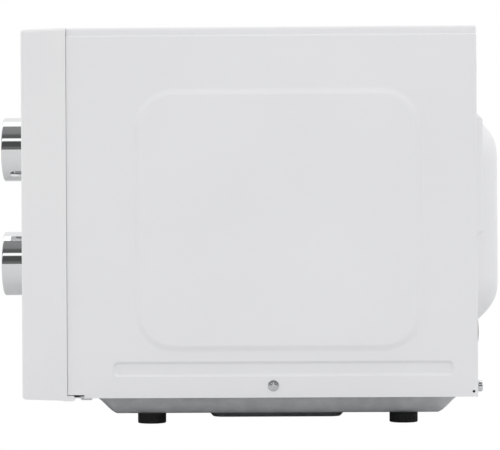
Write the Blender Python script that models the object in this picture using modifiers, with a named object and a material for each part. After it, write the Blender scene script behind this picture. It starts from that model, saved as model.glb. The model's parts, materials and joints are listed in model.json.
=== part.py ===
# Countertop microwave oven with two rotary controls and a push-button door.
# Units are metres, +Z is up, the front faces -Y and the control side is +X.
# The pieces are laid out from the front face (y = 0) and the bench (z = 0); the empty
# "microwave_origin" then moves them all so that the world origin is under the middle.

import math

import bmesh
import bpy
from mathutils import Matrix, Vector

# --- driving sizes -------------------------------------------------------------------
WIDTH = 0.440                 # over the raised fields of the cabinet sides
HEIGHT = 0.2582               # bench to the cabinet top
DEPTH = 0.294                 # front face to the cabinet's rear edge
SHEET = 0.0008                # steel sheet
GAP = 0.0003                  # between pieces that touch
FIT = 0.0005                  # between a piece and the opening that it drops into
BEYOND = 0.010                # how far a cutter runs past what it cuts

# cabinet
FIELD_RISE = 0.0014           # raised field and recessed channel of the cabinet sides
FIELD_MARGIN_FRONT = 0.0432   # cabinet front edge to the raised field
FIELD_MARGIN_REAR = 0.0349
FIELD_MARGIN_TOP = 0.0395
FIELD_MARGIN_BOTTOM = 0.0292
FIELD_CORNER = 0.026
FIELD_SLOPE = 0.0045
CHANNEL_HEIGHT = 0.0103
CHANNEL_RAISE = 0.0134        # cabinet's lower edge to the channel
CHANNEL_INSET_FRONT = 0.0287
CHANNEL_INSET_REAR = 0.015
CABINET_EDGE = 0.005          # bend radius along the top
CABINET_BOTTOM = 0.0187
CABINET_SETBACK = 0.0002      # front plate's face to the cabinet's front edge
REAR_FLANGE = 0.012
NOTCH_LENGTH = 0.0107
NOTCH_HEIGHT = 0.0021
SIDE_SCREW_RAISE = 0.0076
SIDE_SCREW_PLACE = 0.1328     # behind the cabinet's front edge

# front
PANEL_WIDTH = 0.112           # control panel
PANEL_DEPTH = 0.0285
PANEL_WALL = 0.0025
PANEL_BOTTOM = 0.0173
PANEL_DRAFT = 0.001           # the front is this much smaller, top and bottom
PANEL_LIP_REACH = 0.0053
DOOR_SETBACK = 0.0005         # door's back in front of the panel's back
DOOR_INSET = 0.0005           # overall width's edge to the door's free side
DOOR_WALL = 0.0025
DOOR_FRONT_WALL = 0.0058
DOOR_SEAM = 0.001             # door to control panel, and door to cabinet top
GLASS_THICKNESS = 0.003
WINDOW_BORDER_SIDE = 0.0545   # door edge to window
WINDOW_BORDER_BOTTOM = 0.0577
WINDOW_BORDER_TOP = 0.0477
GLASS_OVERLAP = 0.030         # glass beyond the window, each way
HINGE_INSET = 0.007           # hinge pin from the door's edge and back
PIN_RADIUS = 0.0025
PIN_CLEARANCE = 0.0004
PIN_LENGTH = 0.011
HINGE_LEG_WIDTH = 0.008
HINGE_LEG = 0.002
HINGE_PLATE = 0.0015
HINGE_PLATE_SIZE = (0.0245, 0.010)
HINGE_FROM_DOOR_END = 0.0087  # door top or bottom to the outer face of the hinge leg
FACE_GAP = 0.0006             # control panel's back to the front plate

# knobs, dials and door button
KNOB_RADIUS = 0.0212
KNOB_PROUD = 0.0186
KNOB_BORE_END = 0.003         # metal left in front of the shaft
UPPER_KNOB_BELOW_TOP = 0.0768
KNOB_BETWEEN = 0.5673         # lower knob's place, as a share of upper knob to button
SHAFT_RADIUS = 0.003
POINTER_WIDTH = 0.002
POWER_POINTER = math.radians(142)
TIMER_POINTER = math.radians(32)
SHAFT_HOLE = 0.0045
TIMER_SIZE = (0.047, 0.030, 0.051)
SELECTOR_SIZE = (0.045, 0.026, 0.044)
CONTROL_SETBACK = 0.010       # front face to the timer and selector bodies
BUTTON_MARGIN = 0.0125        # panel edge to button
BUTTON_HEIGHT = 0.030
BUTTON_RAISE = 0.032          # bench to the button's lower edge
BUTTON_PROUD = 0.0012
BUTTON_DEPTH = 0.0095
BUTTON_WALL = 0.002
BUTTON_TRAVEL = 0.005
STEM_WIDTH = 0.006
STEM_HEIGHT = 0.003
STEM_MARGIN = 0.0005          # button's edge to the stem

# latch
HOOK_THICKNESS = 0.0024
HOOK_CLEARANCE = 0.0005       # to the door's wall
HOOK_REACH = 0.020            # behind the door
HOOK_HEIGHT = 0.0064
HOOK_ABOVE_BUTTON = 0.0076
HOOK_BELOW_TOP = 0.0546       # cabinet top to the underside of the upper hook's arm
BARB = (0.005, 0.0036)        # length and drop of a barb
HOOK_SWAY = 0.0022            # sideways room as the door swings
LATCH_LIFT = 0.0035
LEDGE_CLEARANCE = 0.0004
LEVER_BELOW_HOOK = 0.004      # lever pivot under the lower barb's edge
LEVER_BEHIND_FACE = 0.0069
LEVER_PIN = 0.0015
CONTROL_OPENING = 0.060

# inside the door
TRAY_FLANGE = 0.012
TRAY_SETBACK = 0.0001
COVER_THICKNESS = 0.0028
COVER_MARGIN = 0.014
HOOK_PLATE = (0.012, 0.020)   # front and rear of the sliding plate

# release lever, bracket and switches
BRACKET_THICKNESS = 0.002
BRACKET_LENGTH = 0.044
BRACKET_OVERRUN = 0.006       # beyond the hooks, top and bottom
BRACKET_GAP = 0.0042          # hooks' slots to the bracket
LEDGE_LENGTH = 0.0084
LEVER_HUB = 0.0032
LEVER_LENGTH = 0.014
LEVER_THICKNESS = 0.004
LEVER_WINDOW = 0.015
LEVER_WINDOW_START = 0.0058     # behind the lever's pivot, for the finger's swing
PADDLE_LENGTH = 0.019
SWITCH_SIZE = (0.0102, 0.028, 0.016)

# cavity and turntable
CAVITY_INSET_LEFT = 0.0106    # cabinet side to the cavity's left wall
BAY_OVER_PANEL = 0.0086       # the bay is this much wider than the control panel
CAVITY_FLOOR = 0.038
TABLE_SETBACK = 0.0014        # turntable axis behind the cavity's middle
CAVITY_BELOW_TOP = 0.0149     # cabinet top to the cavity ceiling
PLATE_CLEARANCE = 0.0065      # round the glass plate
TRACK_RADIUS = 0.0905
RING_RADIUS = 0.086
RING_WIDTH = 0.007
RING_HEIGHT = 0.005
WHEEL_RADIUS = 0.007
WHEEL_WIDTH = 0.006
AXLE_RADIUS = 0.002
AXLE_CLEARANCE = 0.0004
PLATE_THICKNESS = 0.004
PLATE_RIM = 0.013
COUPLER_STEM = 0.004
COUPLER_HUB = 0.010
COUPLER_REACH = 0.024
COUPLER_ARM = 0.005
WHEEL_TURNS = [math.radians(angle) for angle in (90, 210, 330)]
MOTOR_RADIUS = 0.024
MOTOR_HEIGHT = 0.015

# rear
DOME_DEPTH = 0.0313           # beyond the cabinet's rear edge
DOME_MARGIN = (0.042, 0.0167)  # cavity's sides, and its floor and ceiling, to the dome
DOME_DRAW_IN = 0.036
DOME_CORNER = 0.045
DOME_DROP = 0.0072            # dome's middle under the cavity's middle
VENT_RISE = 0.0062
VENT_SIZE = (0.090, 0.088)
VENT_INSET = 0.022            # cabinet side to the vent plateau
VENT_SLOT = (0.034, 0.0032)
VENT_ROWS = 8
VENT_CORNER = 0.010
EXHAUST_BELOW_TOP = 0.0267
EXHAUST_SIZE = (0.096, 0.021)
EXHAUST_RISE = 0.0018
GLAND_RADIUS = 0.007
GLAND_INSET = 0.025
GLAND_PLACE = 0.060
SCREW_RADIUS = 0.0036
SIDE_SCREW_HEAD = 0.0011
REAR_SCREW_HEAD = 0.0032
SHANK_RADIUS = 0.0019
SHANK_HOLE = 0.0023
SHANK_LENGTH = 0.006
REAR_SCREW_INSET = 0.010
REAR_SCREW_PLACE = 0.025

# base
PAN_DEPTH = 0.0112
PAN_MARGIN_SIDE = 0.012       # cabinet side to the pan's rim
PAN_MARGIN_FRONT = 0.020
PAN_MARGIN_REAR = 0.0126
PAN_SLOPE = 0.011
BOSS_DEPTH = 0.0048
BOSS_WIDTH = 0.0938
BOSS_INSET = 0.045            # cabinet side to the boss
BOSS_LENGTH = 0.265
BOSS_BEHIND_TABLE = 0.0019
BOSS_SLOPE = 0.0044
PAN_CORNER = 0.012
SCREW_FLANGE = (0.020, 0.0123) # length and height of the base's screw flanges
BASE_TAB = (0.0077, 0.0011)
BASE_VENTS = 4
BASE_VENT_PLACE = 0.150
BASE_VENT_START = 0.060       # pan's front rim to the first vent slot
BASE_VENT_PITCH = 0.012
FOOT_PEG = 0.0025
FOOT_RADIUS = 0.0093
FOOT_INSET_SIDE = 0.034
FOOT_INSET_FRONT = 0.0525
FOOT_INSET_REAR = 0.0465

# electrical bay
MAGNETRON_SIZE = (0.046, 0.070, 0.076)
ANTENNA_SETBACK = 0.1557      # cabinet's front edge to the magnetron's axis
ANTENNA_BELOW_TOP = 0.0882
WAVEGUIDE_SIZE = (0.0279, 0.090, 0.110)
WAVEGUIDE_WALL = 0.0012
PORT_SIZE = (0.066, 0.038)
PORT_BELOW_ANTENNA = 0.0375
LAMP_SETBACK = 0.0657
LAMP_BELOW_CEILING = 0.0183
LAMP_HOLE = 0.0014
LAMP_RADIUS = 0.010
LAMP_LENGTH = 0.021
CORE_SIZE = (0.086, 0.064, 0.065)
CORE_SETBACK = 0.0457         # cabinet's front edge to the transformer
CORE_INSET = 0.0216           # cabinet side to the transformer
CORE_LIFT = 0.0025            # over the pan's floor, on four pads
CORE_PAD = 0.005
COIL_WIDTH = 0.028
COIL_OVERHANG = 0.014
FAN_RADIUS = 0.034
FAN_BELOW_TOP = 0.0962
CAPACITOR_SIZE = (0.072, 0.033, 0.052)
CAPACITOR_PLACE = (0.042, 0.030)   # in from the cabinet side, and from its rear
CAPACITOR_LIFT = 0.0054
ANTENNA_RADIUS = 0.006
ANTENNA_REACH = 0.017
MAGNETRON_GAP = 0.002              # waveguide to magnetron
YOKE_WALL = 0.002
FILTER_STUB = 0.009
STUB_REACH = 0.012
FILTER_DEPTH = 0.032
ANODE_RADIUS = 0.020
FIN_RADIUS = 0.029
FINS = 5
CORE_LEG = 0.012
CORE_FOOT = 0.003
COIL_PLACES = (0.0165, 0.0475)
FAN_INSET = 0.065                  # cabinet side to the fan's axis
FAN_HUB = 0.008
FAN_SHAFT = 0.002
FAN_BLADES = 5
FAN_DEPTH = 0.022
FAN_GAP = 0.004
FAN_TIP_GAP = 0.002
FAN_RIM = 0.006
FAN_BACK = 0.004                   # blades to the rear panel
FAN_MOTOR_SIZE = (0.044, 0.026, 0.052)
BOARD_SIZE = (0.072, 0.050)
BOARD_ABOVE_CORE = 0.020
BOARD_SETBACK = 0.0887
# place across and up, then width, depth and height of what stands on the board
BOARD_PIECES = [(0.006, 0.008, 0.020, 0.014, 0.020), (0.032, 0.006, 0.016, 0.018, 0.014),
                (0.052, 0.010, 0.012, 0.012, 0.028), (0.030, 0.032, 0.020, 0.007, 0.006)]

# --- places worked out from them ------------------------------------------------------
SIDE = WIDTH / 2 - FIELD_RISE                      # flat of the cabinet side, outside
SIDE_IN = SIDE - SHEET
TOP_IN = HEIGHT - SHEET
DOOR_DEPTH = PANEL_DEPTH - DOOR_SETBACK
FACE = PANEL_DEPTH + FACE_GAP                      # front plate, front face
FACE_BACK = FACE + SHEET
CABINET_FRONT = FACE + CABINET_SETBACK
REAR_IN = DEPTH - SHEET
REAR_PANEL = REAR_IN - GAP - SHEET                 # rear panel, front face
CAVITY_BACK = REAR_PANEL - GAP - SHEET             # cavity's back wall, front face
CAVITY_FRONT = FACE_BACK + GAP
CAVITY_LEFT = -SIDE + CAVITY_INSET_LEFT            # inside faces of the cavity
CAVITY_RIGHT = SIDE - PANEL_WIDTH - BAY_OVER_PANEL
CAVITY_TOP = HEIGHT - CAVITY_BELOW_TOP
CAVITY_X = (CAVITY_LEFT + CAVITY_RIGHT) / 2
DOME_BASE = (CAVITY_RIGHT - CAVITY_LEFT - 2 * DOME_MARGIN[0],
             CAVITY_TOP - CAVITY_FLOOR - 2 * DOME_MARGIN[1])
DOME_Z = (CAVITY_TOP + CAVITY_FLOOR) / 2 - DOME_DROP
TABLE_Y = (CAVITY_FRONT + CAVITY_BACK) / 2 + TABLE_SETBACK
RIM_TOP = CABINET_BOTTOM + SHEET                   # base plate's rim
PANEL_LEFT = WIDTH / 2 - PANEL_WIDTH
DOOR_LEFT = -WIDTH / 2 + DOOR_INSET
DOOR_RIGHT = PANEL_LEFT - DOOR_SEAM
DOOR_BOTTOM = PANEL_BOTTOM
DOOR_TOP = HEIGHT - DOOR_SEAM / 2
HINGE_X = DOOR_LEFT + HINGE_INSET
HINGE_Y = DOOR_DEPTH - HINGE_INSET
KNOB_X = PANEL_LEFT + PANEL_WIDTH / 2
BUTTON_TOP = BUTTON_RAISE + BUTTON_HEIGHT
UPPER_KNOB_Z = HEIGHT - UPPER_KNOB_BELOW_TOP
LOWER_KNOB_Z = UPPER_KNOB_Z - KNOB_BETWEEN * (UPPER_KNOB_Z - BUTTON_TOP + BUTTON_HEIGHT / 2)
BAY_LEFT = CAVITY_RIGHT + SHEET + GAP              # outside of the cavity's right wall
PAN_FLOOR = CABINET_BOTTOM - PAN_DEPTH
STEM_X = PANEL_LEFT + BUTTON_MARGIN + STEM_MARGIN + STEM_WIDTH / 2
STEM_Z = BUTTON_RAISE + BUTTON_HEIGHT / 2 - STEM_HEIGHT / 3
BARB_DROP = BARB[1]
HOOK_X = DOOR_RIGHT - DOOR_WALL - HOOK_CLEARANCE - HOOK_THICKNESS
HOOK_TIP = DOOR_DEPTH + HOOK_REACH
HOOK_LOW = BUTTON_TOP + HOOK_ABOVE_BUTTON                     # underside of the lower hook's arm
HOOKS = [(HOOK_LOW, HOOK_LOW + HOOK_HEIGHT),
         (HEIGHT - HOOK_BELOW_TOP, HEIGHT - HOOK_BELOW_TOP + HOOK_HEIGHT)]
BARB_EDGE = HOOK_LOW - BARB_DROP
LEVER_Y = FACE + LEVER_BEHIND_FACE
LEVER_Z = BARB_EDGE - LEVER_BELOW_HOOK
HINGE_LEGS = [DOOR_BOTTOM + HINGE_FROM_DOOR_END + HINGE_LEG / 2,
              DOOR_TOP - HINGE_FROM_DOOR_END - HINGE_LEG / 2]
WHEEL_Z = CAVITY_FLOOR + GAP + WHEEL_RADIUS
PLATE_Z = WHEEL_Z + WHEEL_RADIUS + GAP             # glass plate's underside
PLATE_RADIUS = min(CAVITY_RIGHT - CAVITY_X, CAVITY_BACK - TABLE_Y) - PLATE_CLEARANCE
FOOT_HEIGHT = PAN_FLOOR - GAP
BASE_RIM = SIDE_IN - FIT
SCREW_Y = CABINET_FRONT + SIDE_SCREW_PLACE
SCREW_Z = CABINET_BOTTOM + SIDE_SCREW_RAISE
ANTENNA_PLACE = (CABINET_FRONT + ANTENNA_SETBACK, HEIGHT - ANTENNA_BELOW_TOP)
PORT_Z = HEIGHT - ANTENNA_BELOW_TOP - PORT_BELOW_ANTENNA
BOARD_Y = CABINET_FRONT + BOARD_SETBACK
CORE_FRONT = CABINET_FRONT + CORE_SETBACK
LAMP_PLACE = (CABINET_FRONT + LAMP_SETBACK, CAVITY_TOP - LAMP_BELOW_CEILING)
FAN_PLACE = HEIGHT - FAN_BELOW_TOP                 # height of the fan's axis
MAGNETRON_X = BAY_LEFT + WAVEGUIDE_SIZE[0] + MAGNETRON_GAP
CORE_LEFT = WIDTH / 2 - CORE_INSET - FIELD_RISE - CORE_SIZE[0]
CORE_BOTTOM = PAN_FLOOR + SHEET + CORE_LIFT + CORE_FOOT
CAPACITOR_X = WIDTH / 2 - CAPACITOR_PLACE[0] - CAPACITOR_SIZE[0]
CAPACITOR_Y = DEPTH - CAPACITOR_PLACE[1] - CAPACITOR_SIZE[1]
CAPACITOR_Z = PAN_FLOOR + CAPACITOR_LIFT
FAN_X = WIDTH / 2 - FAN_INSET
FAN_MOTOR_Y = REAR_PANEL - FAN_BACK - FAN_DEPTH - FAN_GAP - FAN_MOTOR_SIZE[1]
BRACKET_X = HOOK_X + HOOK_THICKNESS + HOOK_SWAY + BRACKET_GAP
Y_MIDDLE = (DEPTH + DOME_DEPTH - KNOB_PROUD) / 2   # middle of the whole length

X, Y, Z = 0, 1, 2


# --- modelling helpers ----------------------------------------------------------------
def clear_scene():
    for thing in list(bpy.data.objects):
        bpy.data.objects.remove(thing)


def paint(name, colour, roughness, metallic=0.0):
    finish = bpy.data.materials.new(name)
    finish.use_nodes = True
    shader = finish.node_tree.nodes['Principled BSDF']
    shader.inputs['Base Color'].default_value = (*colour, 1)
    shader.inputs['Roughness'].default_value = roughness
    shader.inputs['Metallic'].default_value = metallic
    finish.diffuse_color = (*colour, 1)
    return finish


def in_scene(shape, name='shape'):
    mesh = bpy.data.meshes.new(name)
    shape.to_mesh(mesh)
    shape.free()
    thing = bpy.data.objects.new(name, mesh)
    bpy.context.scene.collection.objects.link(thing)
    return thing


def block(low, high):
    low = Vector(low)
    high = Vector(high)
    shape = bmesh.new()
    placing = Matrix.Translation((low + high) / 2) @ Matrix.Diagonal((*(high - low), 1))
    bmesh.ops.create_cube(shape, size=1, matrix=placing)
    return in_scene(shape)


def slab(axis, middle, size, start, end):
    # a block with its middle and size across the axis, and its two ends along it
    low = [0, 0, 0]
    high = [0, 0, 0]
    across = [i for i in (X, Y, Z) if i != axis]
    for place, width, i in zip(middle, size, across):
        low[i] = place - width / 2
        high[i] = place + width / 2
    low[axis] = min(start, end)
    high[axis] = max(start, end)
    return block(low, high)


def turn_to(axis):
    return {X: Matrix.Rotation(math.radians(90), 4, 'Y'),
            Y: Matrix.Rotation(math.radians(-90), 4, 'X'),
            Z: Matrix.Identity(4)}[axis]


def rod(axis, middle, radius, start, end, sides=24):
    place = list(middle)
    place.insert(axis, (start + end) / 2)
    shape = bmesh.new()
    placing = Matrix.Translation(place) @ turn_to(axis)
    bmesh.ops.create_cone(shape, cap_ends=True, segments=sides, radius1=radius, radius2=radius,
                          depth=abs(end - start), matrix=placing)
    return in_scene(shape)


def turned(axis, middle, profile, sides=32, closed=False):
    # profile: (radius, place along the axis) points, from the high end down the outside
    mesh = bpy.data.meshes.new('profile')
    points = [(radius, 0, place) for radius, place in profile]
    lines = [(i, i + 1) for i in range(len(points) - 1)]
    if closed:
        lines.append((len(points) - 1, 0))
    mesh.from_pydata(points, lines, [])
    thing = bpy.data.objects.new('turned', mesh)
    bpy.context.scene.collection.objects.link(thing)
    spin = thing.modifiers.new('turn', 'SCREW')
    spin.steps = sides
    spin.render_steps = sides
    spin.use_merge_vertices = True
    spin.merge_threshold = 0.00001
    apply_modifiers(thing)
    shape = bmesh.new()
    shape.from_mesh(thing.data)
    bmesh.ops.remove_doubles(shape, verts=shape.verts, dist=0.00001)
    bmesh.ops.recalc_face_normals(shape, faces=shape.faces)
    place = list(middle)
    place.insert(axis, 0)
    bmesh.ops.transform(shape, matrix=Matrix.Translation(place) @ turn_to(axis), verts=shape.verts)
    shape.to_mesh(thing.data)
    shape.free()
    return thing


def apply_modifiers(thing):
    graph = bpy.context.evaluated_depsgraph_get()
    mesh = bpy.data.meshes.new_from_object(thing.evaluated_get(graph))
    thing.modifiers.clear()
    thing.data = mesh


def boolean(thing, other, operation):
    change = thing.modifiers.new(operation.lower(), 'BOOLEAN')
    change.operation = operation
    change.object = other
    apply_modifiers(thing)
    bpy.data.objects.remove(other)


def cut(thing, *cutters):
    for cutter in cutters:
        boolean(thing, cutter, 'DIFFERENCE')
    return thing


def join(thing, *others):
    for other in others:
        boolean(thing, other, 'UNION')
    return thing


def round_edges(thing, radius, chosen, steps=3):
    shape = bmesh.new()
    shape.from_mesh(thing.data)
    edges = [edge for edge in shape.edges if chosen(edge)]
    bmesh.ops.bevel(shape, geom=edges, offset=radius, segments=steps, profile=0.5, affect='EDGES')
    shape.to_mesh(thing.data)
    shape.free()
    return thing


def triangulated(thing):
    # fixes how bent faces fold, so that nested copies keep their distance
    shape = bmesh.new()
    shape.from_mesh(thing.data)
    bmesh.ops.triangulate(shape, faces=shape.faces, quad_method='FIXED')
    shape.to_mesh(thing.data)
    shape.free()
    return thing


def along(axis):
    def test(edge):
        run = edge.verts[1].co - edge.verts[0].co
        return abs(abs(run[axis]) - run.length) < 0.00001
    return test


def at(axis, place):
    def test(edge):
        return all(abs(vert.co[axis] - place) < 0.00001 for vert in edge.verts)
    return test


def pressed(axis, middle, size, start, end, corner, draw_in, steps=5):
    # the room inside a pressing: rounded rectangle at its mouth (start), smaller at its end
    thing = slab(axis, middle, size, start, end)
    round_edges(thing, corner, along(axis), steps)
    across = [i for i in (X, Y, Z) if i != axis]
    for vert in thing.data.vertices:
        if abs(vert.co[axis] - end) < 0.00001:
            for place, width, i in zip(middle, size, across):
                vert.co[i] = place + (vert.co[i] - place) * (width - 2 * draw_in) / width
    return thing


parts = bpy.data.collections.new('microwave_oven')
bpy.context.scene.collection.children.link(parts)


def empty(name, parent, place):
    holder = bpy.data.objects.new(name, None)
    parts.objects.link(holder)
    holder.parent = parent
    holder.location = place
    return holder


def add_part(name, thing, finish, parent, origin=None):
    # names the piece, gives it its origin and hangs it on its parent empty
    corners = [Vector(corner) for corner in thing.bound_box]
    if origin is None:
        origin = sum(corners, Vector()) / 8
    origin = Vector(origin)
    thing.data.transform(Matrix.Translation(-origin))
    thing.data.shade_smooth()
    thing.data.set_sharp_from_angle(angle=math.radians(32))
    thing.data.materials.clear()
    thing.data.materials.append(finish)
    thing.name = name
    thing.data.name = name
    bpy.context.scene.collection.objects.unlink(thing)
    parts.objects.link(thing)
    thing.parent = parent
    thing.location = origin - (parent.location if parent.parent else Vector())
    return thing


# --- cabinet, panels and base -----------------------------------------------------------
def side_forms(side, inward):
    # the raised field and the channel of one cabinet side, moved inward by a sheet or not
    front = CABINET_FRONT + FIELD_MARGIN_FRONT
    rear = DEPTH - FIELD_MARGIN_REAR
    low = CABINET_BOTTOM + FIELD_MARGIN_BOTTOM
    high = HEIGHT - FIELD_MARGIN_TOP
    field = pressed(X, ((front + rear) / 2, (low + high) / 2), (rear - front, high - low),
                    side * (SIDE - SHEET / 2 - inward), side * (SIDE + FIELD_RISE - inward),
                    FIELD_CORNER, FIELD_SLOPE)
    front = CABINET_FRONT + CHANNEL_INSET_FRONT
    rear = DEPTH - CHANNEL_INSET_REAR
    low = CABINET_BOTTOM + CHANNEL_RAISE
    channel = pressed(X, ((front + rear) / 2, low + CHANNEL_HEIGHT / 2),
                      (rear - front, CHANNEL_HEIGHT),
                      side * (SIDE + SHEET / 2 - inward), side * (SIDE - FIELD_RISE - inward),
                      CHANNEL_HEIGHT * 0.3, FIELD_RISE, steps=2)
    return field, channel


def outer_cabinet():
    outside = block((-SIDE, CABINET_FRONT, CABINET_BOTTOM), (SIDE, DEPTH, HEIGHT))
    round_edges(outside, CABINET_EDGE, lambda edge: along(Y)(edge) and at(Z, HEIGHT)(edge))
    inside = block((-SIDE_IN, CABINET_FRONT - BEYOND, CABINET_BOTTOM - BEYOND),
                   (SIDE_IN, REAR_IN, TOP_IN))
    round_edges(inside, CABINET_EDGE - SHEET, lambda edge: along(Y)(edge) and at(Z, TOP_IN)(edge))
    for side in (-1, 1):
        field, channel = side_forms(side, 0)
        join(outside, field)
        cut(outside, channel)
        field, channel = side_forms(side, SHEET)
        join(inside, field)
        cut(inside, channel)
    cut(outside, inside)
    cut(outside, block((-SIDE + REAR_FLANGE, REAR_IN - SHEET, CABINET_BOTTOM - BEYOND),
                       (SIDE - REAR_FLANGE, DEPTH + BEYOND, HEIGHT - REAR_FLANGE)))
    cut(outside, block((-WIDTH, CABINET_FRONT - BEYOND, CABINET_BOTTOM - BEYOND),
                       (WIDTH, CABINET_FRONT + NOTCH_LENGTH, CABINET_BOTTOM + NOTCH_HEIGHT)))
    cut(outside, rod(X, (SCREW_Y, SCREW_Z), SHANK_HOLE, -WIDTH, WIDTH, 16))
    for side in (-1, 1):
        cut(outside, rod(Y, (side * (WIDTH / 2 - REAR_SCREW_INSET), REAR_SCREW_PLACE),
                         SHANK_HOLE, REAR_IN - SHEET, DEPTH + BEYOND, 16))
    return outside


def dome(start, rise):
    # the pressing that gives the cavity its rounded back, shared by two nested sheets
    form = pressed(Y, (CAVITY_X, DOME_Z), DOME_BASE, start, rise,
                   DOME_CORNER, DOME_DRAW_IN)
    return triangulated(round_edges(form, DOME_CORNER / 4, at(Y, rise)))


def rear_panel():
    back = REAR_PANEL + SHEET
    edge = SIDE_IN - 2 * GAP
    vent_x = WIDTH / 2 - VENT_INSET - VENT_SIZE[0] / 2
    exhaust_z = HEIGHT - EXHAUST_BELOW_TOP
    top = TOP_IN - 2 * GAP
    panel = block((-edge, REAR_PANEL, RIM_TOP + FIT), (edge, back, top))
    round_edges(panel, CABINET_EDGE, lambda line: along(Y)(line) and at(Z, top)(line))
    for inward in (0, SHEET):
        change = join if inward == 0 else cut
        start = back - SHEET / 2 - inward
        change(panel, dome(start, DEPTH + DOME_DEPTH - inward))
        change(panel, pressed(Y, (vent_x, FAN_PLACE), VENT_SIZE, start,
                              DEPTH + VENT_RISE - inward, VENT_CORNER, VENT_RISE))
        change(panel, pressed(Y, (vent_x, exhaust_z), EXHAUST_SIZE, start,
                              DEPTH + EXHAUST_RISE - inward, VENT_CORNER / 2, EXHAUST_RISE))
    pitch = VENT_SIZE[1] * 0.8 / VENT_ROWS
    for row in range(VENT_ROWS):
        z = FAN_PLACE + (row - (VENT_ROWS - 1) / 2) * pitch
        for side in (-1, 1):
            cut(panel, slab(Y, (vent_x + side * (VENT_SLOT[0] / 2 + VENT_SLOT[1] / 2), z),
                            VENT_SLOT, REAR_PANEL, DEPTH + DOME_DEPTH))
    for side in (-1, 1):
        cut(panel, slab(Y, (vent_x + side * EXHAUST_SIZE[0] / 5, exhaust_z),
                        (VENT_SLOT[0], VENT_SLOT[1] * 2), REAR_PANEL, DEPTH + DOME_DEPTH))
        cut(panel, rod(Y, (side * (WIDTH / 2 - REAR_SCREW_INSET), REAR_SCREW_PLACE),
                       SHANK_HOLE, REAR_PANEL - SHEET, DEPTH, 16))
    cut(panel, rod(Y, (WIDTH / 2 - GLAND_INSET, GLAND_PLACE), GLAND_RADIUS + GAP,
                   REAR_PANEL - SHEET, DEPTH))
    return panel


def base_plate():
    front = CAVITY_FRONT + GAP
    rear = REAR_PANEL - GAP
    pan_front = CABINET_FRONT + PAN_MARGIN_FRONT
    pan_rear = DEPTH - PAN_MARGIN_REAR
    pan_middle = (0, (pan_front + pan_rear) / 2)
    pan_size = (WIDTH - 2 * PAN_MARGIN_SIDE, pan_rear - pan_front)
    boss_middle = (WIDTH / 2 - BOSS_INSET - BOSS_LENGTH / 2,
                   TABLE_Y + BOSS_BEHIND_TABLE)
    plate = block((-BASE_RIM, front, CABINET_BOTTOM), (BASE_RIM, rear, RIM_TOP))
    for up in (0, SHEET):
        change = join if up == 0 else cut
        change(plate, pressed(Z, pan_middle, pan_size, RIM_TOP - SHEET / 2 + up, PAN_FLOOR + up,
                              PAN_CORNER, PAN_SLOPE, steps=3))
    for up in (0, SHEET):
        change = join if up == 0 else cut
        change(plate, pressed(Z, boss_middle, (BOSS_LENGTH, BOSS_WIDTH),
                              PAN_FLOOR + SHEET / 2 + up, PAN_FLOOR - BOSS_DEPTH + up,
                              PAN_CORNER, BOSS_SLOPE, steps=3))
    for side in (-1, 1):
        join(plate, slab(X, (SCREW_Y, CABINET_BOTTOM + SCREW_FLANGE[1] / 2), SCREW_FLANGE,
                         side * (BASE_RIM - SHEET), side * BASE_RIM))
        tab_y = CABINET_FRONT + NOTCH_LENGTH + BASE_TAB[0] / 6
        join(plate, slab(X, (tab_y, CABINET_BOTTOM), (BASE_TAB[0], 2 * BASE_TAB[1]),
                         side * (BASE_RIM - 2 * SHEET), side * BASE_RIM))
        cut(plate, rod(X, (SCREW_Y, SCREW_Z), SHANK_HOLE, side * SIDE_IN,
                       side * (BASE_RIM - 4 * SHEET), 16))
        for row in range(BASE_VENTS):
            cut(plate, slab(Z, (side * BASE_VENT_PLACE, pan_front + BASE_VENT_START + row * BASE_VENT_PITCH),
                            (VENT_SLOT[0], VENT_SLOT[1]), 0, CAVITY_FLOOR))
    core_front = CORE_FRONT - CORE_LEG + CORE_PAD
    core_rear = CORE_FRONT + CORE_SIZE[1] + CORE_LEG / 2 - CORE_PAD
    pads = [(CORE_LEFT + CORE_PAD, core_front, PAN_FLOOR),
            (CORE_LEFT + CORE_SIZE[0] - CORE_PAD, core_front, PAN_FLOOR),
            (CORE_LEFT + CORE_PAD, core_rear, PAN_FLOOR - BOSS_DEPTH),
            (CORE_LEFT + CORE_SIZE[0] - CORE_PAD, core_rear, PAN_FLOOR)]
    for x, y, floor in pads:
        join(plate, rod(Z, (x, y), CORE_PAD * 0.9, floor + SHEET / 2,
                        CORE_BOTTOM - CORE_FOOT - GAP, 16))
    for x, y in foot_places().values():
        cut(plate, rod(Z, (x, y), FOOT_PEG + 2 * GAP, PAN_FLOOR - BEYOND / 2,
                       PAN_FLOOR + BEYOND / 2, 16))
    return plate


def foot_places():
    x = WIDTH / 2 - FOOT_INSET_SIDE
    front = CABINET_FRONT + FOOT_INSET_FRONT
    rear = DEPTH - FOOT_INSET_REAR
    return {'foot_front_left': (-x, front), 'foot_front_right': (x, front),
            'foot_rear_left': (-x, rear), 'foot_rear_right': (x, rear)}


def foot(x, y):
    profile = [(0, FOOT_HEIGHT + 3 * SHEET), (FOOT_PEG, FOOT_HEIGHT + 3 * SHEET),
               (FOOT_PEG, FOOT_HEIGHT), (FOOT_RADIUS, FOOT_HEIGHT),
               (FOOT_RADIUS, FOOT_RADIUS / 12), (FOOT_RADIUS * 11 / 12, 0), (0, 0)]
    return turned(Z, (x, y), profile, 20)


def screw(axis, middle, start, head, towards):
    # shank from inside out to the head, which stands on the sheet at start
    shank = rod(axis, middle, SHANK_RADIUS, start - towards * SHANK_LENGTH,
                start + towards * head / 2, 16)
    return join(shank, rod(axis, middle, SCREW_RADIUS, start, start + towards * head, 20))


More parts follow.
